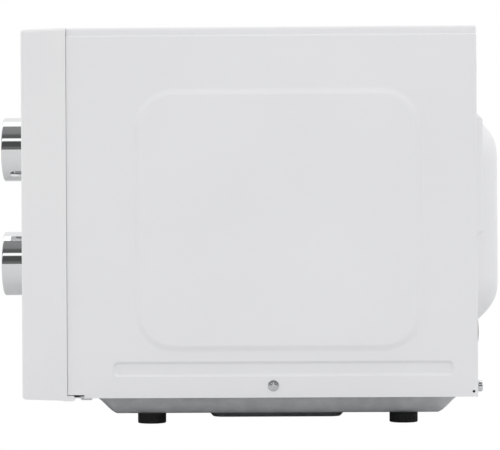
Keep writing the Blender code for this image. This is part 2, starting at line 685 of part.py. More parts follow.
def front_plate():
    edge = SIDE_IN - FIT + GAP / 3
    top = TOP_IN - FIT
    plate = block((-edge, FACE, RIM_TOP + 2 * GAP), (edge, FACE_BACK, top))
    round_edges(plate, CABINET_EDGE, lambda line: along(Y)(line) and at(Z, top)(line))
    near = FACE - FIT
    far = FACE_BACK + FIT
    openings = [block((CAVITY_LEFT, near, CAVITY_FLOOR), (CAVITY_RIGHT, far, CAVITY_TOP)),
                block((KNOB_X - CONTROL_OPENING / 2, near, LOWER_KNOB_Z - CONTROL_OPENING / 2),
                      (KNOB_X + CONTROL_OPENING / 2, far, UPPER_KNOB_Z + CONTROL_OPENING / 2)),
                slab(Y, (STEM_X, STEM_Z), (2 * STEM_WIDTH, 4 * STEM_HEIGHT), near, far)]
    for low, high in HOOKS:
        openings.append(block((HOOK_X - FIT, near, low - BARB_DROP),
                              (HOOK_X + HOOK_THICKNESS + HOOK_SWAY, far, high + 2 * LATCH_LIFT)))
    for leg in HINGE_LEGS:
        openings.append(slab(Y, (HINGE_X, leg), (HINGE_LEG_WIDTH + 2 * FIT, HINGE_LEG + 2 * FIT),
                             near, far))
    return cut(plate, *openings)


# --- cavity -----------------------------------------------------------------------------
def cavity_left_wall():
    return block((CAVITY_LEFT - SHEET, CAVITY_FRONT, CAVITY_FLOOR + GAP),
                 (CAVITY_LEFT, CAVITY_BACK - GAP, CAVITY_TOP))


def cavity_right_wall():
    wall = block((CAVITY_RIGHT, CAVITY_FRONT, CAVITY_FLOOR + GAP),
                 (CAVITY_RIGHT + SHEET, CAVITY_BACK - GAP, CAVITY_TOP))
    near = CAVITY_RIGHT - SHEET
    far = CAVITY_RIGHT + 2 * SHEET
    cut(wall, slab(X, (ANTENNA_PLACE[0], PORT_Z), PORT_SIZE, near, far))
    for row in (-1, 0, 1):
        for column in (-1, 0, 1):
            cut(wall, rod(X, (LAMP_PLACE[0] + column * LAMP_HOLE * 3,
                              LAMP_PLACE[1] + row * LAMP_HOLE * 3), LAMP_HOLE, near, far, 8))
    return wall


def cavity_ceiling():
    return block((CAVITY_LEFT - SHEET, CAVITY_FRONT, CAVITY_TOP + GAP),
                 (CAVITY_RIGHT + SHEET, CAVITY_BACK - GAP, CAVITY_TOP + GAP + SHEET))


def cavity_floor():
    floor = block((CAVITY_LEFT - SHEET, CAVITY_FRONT, CAVITY_FLOOR - SHEET),
                  (CAVITY_RIGHT + SHEET, CAVITY_BACK - GAP, CAVITY_FLOOR))
    return cut(floor, rod(Z, (CAVITY_X, TABLE_Y), COUPLER_STEM + 4 * FIT,
                          CAVITY_FLOOR - 2 * SHEET, CAVITY_FLOOR + SHEET))


def cavity_back_wall():
    # its dome nests inside the rear panel's dome
    back = CAVITY_BACK + SHEET
    shift = REAR_PANEL - CAVITY_BACK
    wall = block((CAVITY_LEFT - SHEET, CAVITY_BACK, CAVITY_FLOOR - SHEET),
                 (CAVITY_RIGHT + SHEET, back, CAVITY_TOP + GAP + SHEET))
    join(wall, dome(back - SHEET / 2, DEPTH + DOME_DEPTH - shift))
    return cut(wall, dome(back - SHEET * 3 / 2, DEPTH + DOME_DEPTH - shift - SHEET))


# --- door ---------------------------------------------------------------------------------
def window(grow=0.0):
    # left, right, bottom and top of the door's window, made larger by grow
    return (DOOR_LEFT + WINDOW_BORDER_SIDE - grow, DOOR_RIGHT - WINDOW_BORDER_SIDE + grow,
            DOOR_BOTTOM + WINDOW_BORDER_BOTTOM - grow, DOOR_TOP - WINDOW_BORDER_TOP + grow)


def window_block(grow, near, far, corner):
    left, right, bottom, top = window(grow)
    thing = block((left, near, bottom), (right, far, top))
    return round_edges(thing, corner, along(Y), 4)


def door_frame():
    frame = block((DOOR_LEFT, 0, DOOR_BOTTOM), (DOOR_RIGHT, DOOR_DEPTH, DOOR_TOP))

    def back_edge(edge):
        return at(X, DOOR_LEFT)(edge) and at(Y, DOOR_DEPTH)(edge)

    round_edges(frame, HINGE_INSET - GAP, back_edge, 6)
    round_edges(frame, PANEL_WALL, lambda edge: at(Y, 0)(edge), 3)
    column = HINGE_X + HINGE_INSET - FIT               # solid behind here, for the pins
    cut(frame, block((column, DOOR_FRONT_WALL, DOOR_BOTTOM + DOOR_WALL),
                     (DOOR_RIGHT - DOOR_WALL, DOOR_DEPTH + BEYOND, DOOR_TOP - DOOR_WALL)))
    cut(frame, block((DOOR_LEFT + DOOR_WALL, DOOR_FRONT_WALL, DOOR_BOTTOM + DOOR_WALL),
                     (column + FIT, HINGE_Y - HINGE_INSET - FIT, DOOR_TOP - DOOR_WALL)))
    cut(frame, window_block(0, -BEYOND, DOOR_FRONT_WALL + BEYOND, GLASS_THICKNESS * 2))
    cut(frame, window_block(GLASS_OVERLAP, -BEYOND, GLASS_THICKNESS + GAP, GLASS_THICKNESS * 2))
    reach = math.hypot(HINGE_LEG_WIDTH / 2, HINGE_LEG_WIDTH / 2)
    for leg, up in zip(HINGE_LEGS, (1, -1)):
        cut(frame, block((DOOR_LEFT - BEYOND, HINGE_Y - reach - FIT, leg - HINGE_LEG / 2 - GAP),
                         (HINGE_X + reach + FIT, DOOR_DEPTH + BEYOND, leg + HINGE_LEG / 2 + GAP)))
        cut(frame, rod(Z, (HINGE_X, HINGE_Y), PIN_RADIUS + PIN_CLEARANCE, leg,
                       leg + up * (HINGE_LEG / 2 + PIN_LENGTH + 4 * GAP)))
    return frame


def door_glass():
    return window_block(GLASS_OVERLAP - GAP, 0, GLASS_THICKNESS, GLASS_THICKNESS * 2 - GAP)


def door_tray_edges(inset):
    # outline of the pressed screen inside the door, clear of the hinge column and the hooks
    return (HINGE_X + HINGE_INSET + inset, HOOK_X - SHEET * 2 - inset,
            DOOR_BOTTOM + DOOR_WALL + FIT + inset, DOOR_TOP - DOOR_WALL - FIT - inset)


def door_steel_panel():
    left, right, bottom, top = door_tray_edges(0)
    back = DOOR_DEPTH - COVER_THICKNESS - GAP - TRAY_SETBACK
    tray = block((left, back - TRAY_FLANGE, bottom), (right, back, top))
    return cut(tray, block((left + SHEET, back - 2 * TRAY_FLANGE, bottom + SHEET),
                           (right - SHEET, back - SHEET, top - SHEET)))


def door_choke_cover():
    left, right, bottom, top = door_tray_edges(GAP)
    back = DOOR_DEPTH - TRAY_SETBACK
    cover = block((left, back - COVER_THICKNESS, bottom), (right, back, top))
    return cut(cover, window_block(COVER_MARGIN, 0, DOOR_DEPTH + GLASS_OVERLAP, COVER_MARGIN))


def latch_hooks():
    # one sliding plate with two hooks, lifted by the release lever under the lower one
    right = HOOK_X + HOOK_THICKNESS
    plate = block((HOOK_X, HOOK_PLATE[0], BARB_EDGE - BARB_DROP),
                  (right, HOOK_PLATE[1], HOOKS[1][1] + BARB_DROP))
    for low, high in HOOKS:
        arm = block((HOOK_X, HOOK_PLATE[1] - SHEET, low), (right, HOOK_TIP, high))
        barb = block((HOOK_X, HOOK_TIP - BARB[0], low - BARB_DROP),
                     (right, HOOK_TIP, low + HOOK_HEIGHT / 2))
        join(plate, join(arm, barb))
    return plate


def hinge(leg, up):
    # plate behind the front plate, leg through it, and the pin that enters the door;
    # up is +1 for the lower hinge, whose pin points up
    near = FACE_BACK + GAP
    left = HINGE_X - HINGE_LEG_WIDTH / 2
    piece = slab(Y, (left + HINGE_PLATE_SIZE[0] / 2, leg + HINGE_LEG),
                 HINGE_PLATE_SIZE, near, near + HINGE_PLATE)
    join(piece, block((left, HINGE_Y - HINGE_LEG_WIDTH / 2, leg - HINGE_LEG / 2),
                      (HINGE_X + HINGE_LEG_WIDTH / 2, near + HINGE_PLATE, leg + HINGE_LEG / 2)))
    return join(piece, rod(Z, (HINGE_X, HINGE_Y), PIN_RADIUS, leg,
                           leg + up * (HINGE_LEG / 2 + PIN_LENGTH), 20))


# --- latch behind the front plate -----------------------------------------------------------
def latch_bracket():
    # plate beside the hooks, with a ledge for each barb and the release lever's pin
    far = BRACKET_X + BRACKET_THICKNESS
    start = FACE_BACK + GAP
    bottom = LEVER_Z - LEVER_WINDOW
    bracket = block((BRACKET_X, start, bottom),
                    (far, start + BRACKET_LENGTH, HOOKS[1][1] + BRACKET_OVERRUN))
    join(bracket, block((BRACKET_X - BRACKET_GAP, start, HOOKS[0][1] + 3 * BRACKET_OVERRUN),
                        (far, start + BRACKET_THICKNESS, HOOKS[1][0] - 3 * BRACKET_OVERRUN)))
    cut(bracket, block((BRACKET_X - SHEET, LEVER_Y + LEVER_WINDOW_START,
                        LEVER_Z - LEVER_WINDOW / 3),
                       (far + SHEET, LEVER_Y + LEVER_LENGTH, LEVER_Z + LEVER_WINDOW * 2 / 3)))
    for low, high in HOOKS:
        top = low - BARB_DROP - LEDGE_CLEARANCE
        rear = HOOK_TIP - BARB[0] - 2 * GAP
        join(bracket, block((HOOK_X, rear - LEDGE_LENGTH, top - LEDGE_LENGTH * 2 / 3),
                            (BRACKET_X + BRACKET_THICKNESS / 2, rear, top)))
    return join(bracket, rod(X, (LEVER_Y, LEVER_Z), LEVER_PIN, far - SHEET,
                             far + LEVER_LENGTH + STEM_HEIGHT, 16))


def release_lever():
    # the button's stem pushes the paddle back; the finger under the lower barb rises
    left = BRACKET_X + BRACKET_THICKNESS + FIT
    right = left + LEVER_LENGTH
    top = BARB_EDGE - LEDGE_CLEARANCE
    tip = HOOK_TIP
    lever = rod(X, (LEVER_Y, LEVER_Z), LEVER_HUB, left, right)
    join(lever, block((left + GAP, LEVER_Y, top - LEVER_THICKNESS + GAP),
                      (left + LEVER_LENGTH / 3, tip - GAP, top - SHEET)))
    join(lever, block((HOOK_X, tip - LEVER_THICKNESS, top - LEVER_THICKNESS),
                      (left + SHEET, tip, top)))
    join(lever, block((right - LEVER_LENGTH / 2, LEVER_Y - LEVER_HUB + SHEET * 2,
                       LEVER_Z - PADDLE_LENGTH),
                      (right - GAP, LEVER_Y + SHEET, LEVER_Z)))
    return cut(lever, rod(X, (LEVER_Y, LEVER_Z), LEVER_PIN + AXLE_CLEARANCE,
                          left - SHEET, right + SHEET, 16))


def interlock_switch(low):
    # snap-action switch with its plunger towards the hook's tip
    left = CAVITY_RIGHT + SHEET + 2 * FIT
    front = HOOK_TIP + 2 * SHEET
    body = block((left, front, low), (left + SWITCH_SIZE[0], front + SWITCH_SIZE[1],
                                      low + SWITCH_SIZE[2]))
    middle = left + SWITCH_SIZE[0] / 2
    join(body, rod(Y, (middle, low + SWITCH_SIZE[2] * 0.6), SHEET * 2, front - SHEET,
                   front + SHEET, 12))
    for row in (0.25, 0.5, 0.75):
        join(body, slab(Y, (middle, low + SWITCH_SIZE[2] * row), (SWITCH_SIZE[0] / 2, SHEET),
                        front + SWITCH_SIZE[1] - SHEET, front + SWITCH_SIZE[1] * 1.2))
    return body


# --- controls -----------------------------------------------------------------------------
def control_panel():
    right = WIDTH / 2
    panel = block((PANEL_LEFT, 0, PANEL_BOTTOM), (right, PANEL_DEPTH, HEIGHT))
    for vert in panel.data.vertices:
        if vert.co.y < PANEL_DEPTH / 2:
            vert.co.z += PANEL_DRAFT if vert.co.z < HEIGHT / 2 else -PANEL_DRAFT
    round_edges(panel, PANEL_WALL, at(Y, 0), 3)
    cut(panel, block((PANEL_LEFT + PANEL_WALL, PANEL_WALL, PANEL_BOTTOM + PANEL_WALL),
                     (right - PANEL_WALL, PANEL_DEPTH * 2, HEIGHT - PANEL_WALL)))
    for z in (UPPER_KNOB_Z, LOWER_KNOB_Z):
        cut(panel, rod(Y, (KNOB_X, z), SHAFT_HOLE, -PANEL_WALL, 2 * PANEL_WALL))
    cut(panel, block((PANEL_LEFT + BUTTON_MARGIN - FIT, -PANEL_WALL, BUTTON_RAISE - FIT),
                     (right - BUTTON_MARGIN, 2 * PANEL_WALL, BUTTON_TOP + FIT)))
    lip_bottom = PANEL_BOTTOM - GAP
    lip_top = CABINET_BOTTOM + NOTCH_HEIGHT - FIT
    return join(panel, block((SIDE_IN - GAP / 3, PANEL_DEPTH - PANEL_WALL, lip_bottom),
                             (right, PANEL_DEPTH + PANEL_LIP_REACH, lip_top)))


def knob(z, pointer):
    # pointer: angle of its mark, clockwise from the top as seen from the front
    rear = -GAP
    bore = -KNOB_PROUD + KNOB_BORE_END
    edge = KNOB_RADIUS / 20
    profile = [(0, bore), (SHAFT_RADIUS + GAP, bore), (SHAFT_RADIUS + GAP, rear),
               (KNOB_RADIUS, rear), (KNOB_RADIUS, -KNOB_PROUD + edge),
               (KNOB_RADIUS - edge, -KNOB_PROUD), (0, -KNOB_PROUD)]
    body = turned(Y, (KNOB_X, z), profile, 40)
    mark = block((-POINTER_WIDTH / 2, -KNOB_PROUD * 0.6, KNOB_RADIUS - POINTER_WIDTH / 2),
                 (POINTER_WIDTH / 2, KNOB_PROUD, KNOB_RADIUS * 2))
    mark.data.transform(Matrix.Translation((KNOB_X, 0, z)) @ Matrix.Rotation(pointer, 4, 'Y'))
    return cut(body, mark)


def dial_shaft(z):
    return rod(Y, (KNOB_X, z), SHAFT_RADIUS, -KNOB_PROUD + KNOB_BORE_END + GAP,
               CONTROL_SETBACK - GAP, 20)


def control_body(size, z):
    body = slab(Y, (KNOB_X, z), (size[0], size[2]), CONTROL_SETBACK, CONTROL_SETBACK + size[1])
    round_edges(body, size[0] / 10, along(Y), 2)
    for side in (-1, 1):
        join(body, slab(Y, (KNOB_X + side * size[0] / 4, z - size[2] / 3),
                        (SHEET, size[2] / 8), CONTROL_SETBACK + size[1] - SHEET,
                        CONTROL_SETBACK + size[1] * 1.25))
    return body


def door_button():
    left = PANEL_LEFT + BUTTON_MARGIN
    right = WIDTH / 2 - BUTTON_MARGIN - FIT
    rear = BUTTON_DEPTH - BUTTON_PROUD
    cap = block((left, -BUTTON_PROUD, BUTTON_RAISE), (right, rear, BUTTON_TOP))
    round_edges(cap, BUTTON_PROUD * 2 / 3, at(Y, -BUTTON_PROUD), 2)
    cut(cap, block((left + BUTTON_WALL, -BUTTON_PROUD + BUTTON_WALL, BUTTON_RAISE + BUTTON_WALL),
                   (right - BUTTON_WALL, rear + BUTTON_WALL, BUTTON_TOP - BUTTON_WALL)))
    return join(cap, slab(Y, (STEM_X, STEM_Z), (STEM_WIDTH, STEM_HEIGHT), 0,
                          LEVER_Y - LEVER_HUB + SHEET))


# --- turntable ----------------------------------------------------------------------------
def turntable_motor():
    top = CAVITY_FLOOR - SHEET - GAP
    bore = COUPLER_STEM + FIT
    bottom = top - MOTOR_HEIGHT
    profile = [(0, bottom + STEM_HEIGHT), (bore, bottom + STEM_HEIGHT), (bore, top),
               (MOTOR_RADIUS, top), (MOTOR_RADIUS, bottom), (0, bottom)]
    return turned(Z, (CAVITY_X, TABLE_Y), profile, 28)


def drive_coupler():
    bottom = CAVITY_FLOOR - SHEET - GAP - MOTOR_HEIGHT + STEM_HEIGHT + GAP
    coupler = rod(Z, (CAVITY_X, TABLE_Y), COUPLER_STEM, bottom, PLATE_Z - WHEEL_RADIUS)
    join(coupler, rod(Z, (CAVITY_X, TABLE_Y), COUPLER_HUB, CAVITY_FLOOR + 4 * FIT, PLATE_Z - GAP))
    for turn in range(3):
        arm = block((0, -COUPLER_STEM, PLATE_Z - COUPLER_ARM), (COUPLER_REACH, COUPLER_STEM,
                                                                PLATE_Z - GAP))
        arm.data.transform(Matrix.Translation((CAVITY_X, TABLE_Y, 0))
                           @ Matrix.Rotation(turn * math.tau / 3, 4, 'Z'))
        join(coupler, arm)
    return coupler


def roller_ring():
    low = WHEEL_Z - RING_HEIGHT / 2
    high = WHEEL_Z + RING_HEIGHT / 2
    profile = [(RING_RADIUS - RING_WIDTH, high), (RING_RADIUS, high), (RING_RADIUS, low),
               (RING_RADIUS - RING_WIDTH, low)]
    ring = turned(Z, (CAVITY_X, TABLE_Y), profile, 48, closed=True)
    for turn in WHEEL_TURNS:
        axle = rod(X, (0, WHEEL_Z), AXLE_RADIUS, RING_RADIUS - RING_WIDTH / 2,
                   TRACK_RADIUS + WHEEL_WIDTH / 2 + SHEET, 16)
        axle.data.transform(Matrix.Translation((CAVITY_X, TABLE_Y, 0))
                            @ Matrix.Rotation(turn, 4, 'Z'))
        join(ring, axle)
    return ring


def roller_wheel(turn):
    near = TRACK_RADIUS - WHEEL_WIDTH / 2
    far = TRACK_RADIUS + WHEEL_WIDTH / 2
    bore = AXLE_RADIUS + AXLE_CLEARANCE
    edge = WHEEL_WIDTH / 8
    profile = [(bore, far), (WHEEL_RADIUS - edge, far), (WHEEL_RADIUS, far - edge),
               (WHEEL_RADIUS, near + edge), (WHEEL_RADIUS - edge, near), (bore, near)]
    wheel = turned(X, (0, WHEEL_Z), profile, 20, closed=True)
    wheel.data.transform(Matrix.Translation((CAVITY_X, TABLE_Y, 0))
                         @ Matrix.Rotation(turn, 4, 'Z'))
    return wheel


def glass_turntable():
    radius = PLATE_RADIUS
    floor = PLATE_Z + PLATE_THICKNESS
    rim = PLATE_Z + PLATE_RIM
    profile = [(0, floor), (radius * 0.86, floor), (radius - PLATE_THICKNESS, rim),
               (radius, rim), (radius, rim - PLATE_THICKNESS / 2), (radius * 0.87, PLATE_Z),
               (0, PLATE_Z)]
    return turned(Z, (CAVITY_X, TABLE_Y), profile, 48)


# --- electrical bay -------------------------------------------------------------------------
def waveguide():
    # sheet duct from the magnetron's antenna down to the port in the cavity wall
    size = WAVEGUIDE_SIZE
    low = PORT_Z - PORT_SIZE[1] / 2 - PORT_SIZE[1] / 2
    duct = block((BAY_LEFT, ANTENNA_PLACE[0] - size[1] / 2, low),
                 (BAY_LEFT + size[0], ANTENNA_PLACE[0] + size[1] / 2, low + size[2]))
    wall = WAVEGUIDE_WALL
    cut(duct, block((BAY_LEFT + wall, ANTENNA_PLACE[0] - size[1] / 2 + wall, low + wall),
                    (BAY_LEFT + size[0] - wall, ANTENNA_PLACE[0] + size[1] / 2 - wall,
                     low + size[2] - wall)))
    cut(duct, slab(X, (ANTENNA_PLACE[0], PORT_Z), (PORT_SIZE[0] + wall, PORT_SIZE[1]),
                   BAY_LEFT - wall, BAY_LEFT + 2 * wall))
    return cut(duct, rod(X, ANTENNA_PLACE, ANTENNA_RADIUS * 2, BAY_LEFT + size[0] - 2 * wall,
                         BAY_LEFT + size[0] + wall))


def waveguide_cover():
    return slab(X, (ANTENNA_PLACE[0], PORT_Z), (PORT_SIZE[0] + COVER_MARGIN,
                                                PORT_SIZE[1] + COVER_MARGIN),
                CAVITY_RIGHT - GAP - SHEET, CAVITY_RIGHT - GAP)


def magnetron_yoke():
    width, length, height = MAGNETRON_SIZE
    yoke = slab(X, ANTENNA_PLACE, (length, height), MAGNETRON_X, MAGNETRON_X + width)
    cut(yoke, slab(X, ANTENNA_PLACE, (length * 2, height - 4 * YOKE_WALL),
                   MAGNETRON_X + YOKE_WALL, MAGNETRON_X + width - YOKE_WALL))
    cut(yoke, rod(X, ANTENNA_PLACE, ANTENNA_RADIUS + 2 * GAP + YOKE_WALL / 2, MAGNETRON_X - GAP,
                  MAGNETRON_X + YOKE_WALL * 2))
    return cut(yoke, rod(X, ANTENNA_PLACE, FILTER_STUB + 2 * GAP, MAGNETRON_X + width / 2,
                         MAGNETRON_X + width + YOKE_WALL))


def magnetron_anode():
    # antenna, cooling fins round the anode, and the cathode stub, in one turned stack
    near = MAGNETRON_X + YOKE_WALL + 2 * GAP
    far = MAGNETRON_X + MAGNETRON_SIZE[0] - YOKE_WALL - 2 * GAP
    pitch = (far - near - 2 * YOKE_WALL) / FINS
    stub_end = MAGNETRON_X + MAGNETRON_SIZE[0] + STUB_REACH
    profile = [(0, stub_end), (FILTER_STUB, stub_end), (FILTER_STUB, far), (ANODE_RADIUS, far)]
    for fin in range(FINS):
        start = far - YOKE_WALL - fin * pitch
        profile += [(ANODE_RADIUS, start), (FIN_RADIUS, start),
                    (FIN_RADIUS, start - 1.5 * SHEET), (ANODE_RADIUS, start - 1.5 * SHEET)]
    profile += [(ANODE_RADIUS, near), (ANTENNA_RADIUS, near),
                (ANTENNA_RADIUS, MAGNETRON_X - ANTENNA_REACH), (0, MAGNETRON_X - ANTENNA_REACH)]
    return turned(X, ANTENNA_PLACE, profile, 16)


def magnetron_filter_box():
    near = MAGNETRON_X + MAGNETRON_SIZE[0] + GAP
    box = slab(X, ANTENNA_PLACE, (MAGNETRON_SIZE[1] * 0.7, MAGNETRON_SIZE[2] * 0.65),
               near, near + FILTER_DEPTH)
    return cut(box, rod(X, ANTENNA_PLACE, FILTER_STUB + FIT, near - GAP, near + STUB_REACH + FIT))


def transformer_core():
    # laminated frame with a middle leg along X; the coils pass through its two windows
    width, length, height = CORE_SIZE
    window_height = (height - 3 * CORE_LEG) / 2
    low = CORE_BOTTOM
    core = block((CORE_LEFT, CORE_FRONT, low), (CORE_LEFT + width, CORE_FRONT + length,
                                               low + height))
    for row in range(2):
        start = low + CORE_LEG + row * (CORE_LEG + window_height)
        cut(core, block((CORE_LEFT + CORE_LEG * 0.75, CORE_FRONT - CORE_LEG, start),
                        (CORE_LEFT + width - CORE_LEG * 0.75, CORE_FRONT + length + CORE_LEG,
                         start + window_height)))
    return join(core, block((CORE_LEFT, CORE_FRONT - CORE_LEG, low - CORE_FOOT),
                            (CORE_LEFT + width, CORE_FRONT + length + CORE_LEG / 2,
                             low + SHEET)))


def winding(left):
    # rectangular coil round the core's middle leg
    width, length, height = CORE_SIZE
    window_height = (height - 3 * CORE_LEG) / 2
    middle = (CORE_FRONT + length / 2, CORE_BOTTOM + height / 2)
    coil = slab(X, middle, (length + 2 * COIL_OVERHANG,
                            CORE_LEG + 2 * window_height - 2 * FIT), left, left + COIL_WIDTH)
    round_edges(coil, COIL_OVERHANG / 2, along(X), 3)
    return cut(coil, slab(X, middle, (length + 2 * FIT, CORE_LEG + 2 * FIT),
                          left - FIT, left + COIL_WIDTH + FIT))


def capacitor():
    width, depth, height = CAPACITOR_SIZE
    can = block((CAPACITOR_X, CAPACITOR_Y, CAPACITOR_Z),
                (CAPACITOR_X + width, CAPACITOR_Y + depth, CAPACITOR_Z + height))
    round_edges(can, depth * 0.45, along(Z), 4)
    for side in (-1, 1):
        join(can, slab(Z, (CAPACITOR_X + width / 2 + side * width / 5, CAPACITOR_Y + depth / 2),
                       (SHEET, depth / 5), CAPACITOR_Z + height - SHEET,
                       CAPACITOR_Z + height * 1.15))
    return can


def capacitor_clamp():
    # band round the can, with a foot screwed to the pan
    width, depth, height = CAPACITOR_SIZE
    wall = WAVEGUIDE_WALL
    low = (CAPACITOR_X - GAP - wall, CAPACITOR_Y - GAP - wall)
    high = (CAPACITOR_X + width + GAP + wall, CAPACITOR_Y + depth + GAP + wall)
    top = CAPACITOR_Z + height / 2
    band = block((*low, PAN_FLOOR + SHEET + GAP), (*high, top))
    round_edges(band, depth * 0.45 + wall, along(Z), 4)
    hollow = block((CAPACITOR_X - GAP, CAPACITOR_Y - GAP, CAPACITOR_Z - 2 * GAP),
                   (CAPACITOR_X + width + GAP, CAPACITOR_Y + depth + GAP, top + wall))
    return cut(band, round_edges(hollow, depth * 0.45 + GAP, along(Z), 4))


def fan_motor():
    size = FAN_MOTOR_SIZE
    body = slab(Y, (FAN_X, FAN_PLACE), (size[0], size[2]), FAN_MOTOR_Y, FAN_MOTOR_Y + size[1])
    round_edges(body, size[0] / 8, along(Y), 2)
    join(body, slab(Y, (FAN_X, FAN_PLACE - size[2] / 4), (size[0] * 0.8, size[2] / 3),
                    FAN_MOTOR_Y - size[1] / 4, FAN_MOTOR_Y + SHEET))
    return cut(body, rod(Y, (FAN_X, FAN_PLACE), FAN_SHAFT + AXLE_CLEARANCE,
                         FAN_MOTOR_Y + size[1] / 4, FAN_MOTOR_Y + size[1] + SHEET, 16))


def fan_blade():
    near = FAN_MOTOR_Y + FAN_MOTOR_SIZE[1] + FAN_GAP
    far = near + FAN_DEPTH
    fan = rod(Y, (FAN_X, FAN_PLACE), FAN_HUB, near, far)
    join(fan, rod(Y, (FAN_X, FAN_PLACE), FAN_SHAFT, near - FAN_MOTOR_SIZE[1] * 2 / 3,
                  near + SHEET, 16))
    for turn in range(FAN_BLADES):
        blade = block((-FAN_HUB, -1.5 * SHEET / 2, FAN_HUB / 2),
                      (FAN_HUB, 1.5 * SHEET / 2, FAN_RADIUS - 2 * SHEET))
        for vert in blade.data.vertices:
            if vert.co.z > FAN_HUB:
                vert.co.x *= 1.7
        pitch = Matrix.Rotation(math.radians(35), 4, 'Z')
        blade.data.transform(Matrix.Translation((FAN_X, (near + far) / 2, FAN_PLACE))
                             @ Matrix.Rotation(turn * math.tau / FAN_BLADES, 4, 'Y') @ pitch)
        join(fan, blade)
    return fan


def fan_shroud():
    # duct round the blades, square plate against the rear panel, two straps to the motor
    start = FAN_MOTOR_Y + FAN_MOTOR_SIZE[1] + FAN_GAP / 2
    end = REAR_PANEL - 2 * GAP
    inner = FAN_RADIUS + FAN_TIP_GAP
    outer = inner + 3 * SHEET
    profile = [(inner, end), (outer, end), (outer, start), (inner, start)]
    duct = turned(Y, (FAN_X, FAN_PLACE), profile, 40, closed=True)
    plate = slab(Y, (FAN_X, FAN_PLACE), (2 * outer + 2 * FAN_RIM, 2 * outer + FAN_RIM),
                 end - 3 * SHEET, end - GAP)
    join(duct, cut(plate, rod(Y, (FAN_X, FAN_PLACE), (inner + outer) / 2, start, end + SHEET, 40)))
    reach = FAN_MOTOR_SIZE[0] / 2 + GAP
    for side in (-1, 1):
        join(duct, slab(Y, (FAN_X + side * (reach + inner + 3 * SHEET) / 2, FAN_PLACE),
                        (inner - reach + SHEET, FAN_HUB), start - 3 * SHEET, start + SHEET))
        join(duct, slab(Y, (FAN_X + side * (reach + SHEET), FAN_PLACE), (2 * SHEET, FAN_HUB * 0.8),
                        FAN_MOTOR_Y + FAN_GAP, start - SHEET))
    return duct


def cavity_lamp():
    near = BAY_LEFT + GAP
    profile = [(0, near + LAMP_LENGTH), (LAMP_RADIUS * 0.7, near + LAMP_LENGTH),
               (LAMP_RADIUS * 0.7, near + LAMP_LENGTH * 0.6), (LAMP_RADIUS, near + LAMP_LENGTH / 2),
               (LAMP_RADIUS, near), (0, near)]
    return turned(X, LAMP_PLACE, profile, 20)


def filter_board():
    # circuit board with its choke, fuse and relay, upright in front of the magnetron
    left = BAY_LEFT + WAVEGUIDE_SIZE[0]
    low = CORE_BOTTOM + CORE_SIZE[2] + BOARD_ABOVE_CORE
    board = block((left, BOARD_Y, low), (left + BOARD_SIZE[0], BOARD_Y + 2 * SHEET,
                                         low + BOARD_SIZE[1]))
    for across, up, width, depth, height in BOARD_PIECES:
        join(board, block((left + across, BOARD_Y - depth, low + up),
                          (left + across + width, BOARD_Y + SHEET, low + up + height)))
    return board


def cord_gland():
    # bush in the rear panel where the supply cord leaves
    inside = REAR_PANEL - 4 * SHEET
    seat = REAR_PANEL + SHEET + GAP
    rear = DEPTH + 2 * SHEET
    bore = GLAND_RADIUS / 2
    profile = [(bore, rear), (GLAND_RADIUS + 2 * SHEET, rear), (GLAND_RADIUS + 3 * SHEET, seat),
               (GLAND_RADIUS, seat), (GLAND_RADIUS, inside), (bore, inside)]
    return turned(Y, (WIDTH / 2 - GLAND_INSET, GLAND_PLACE), profile, 28, closed=True)


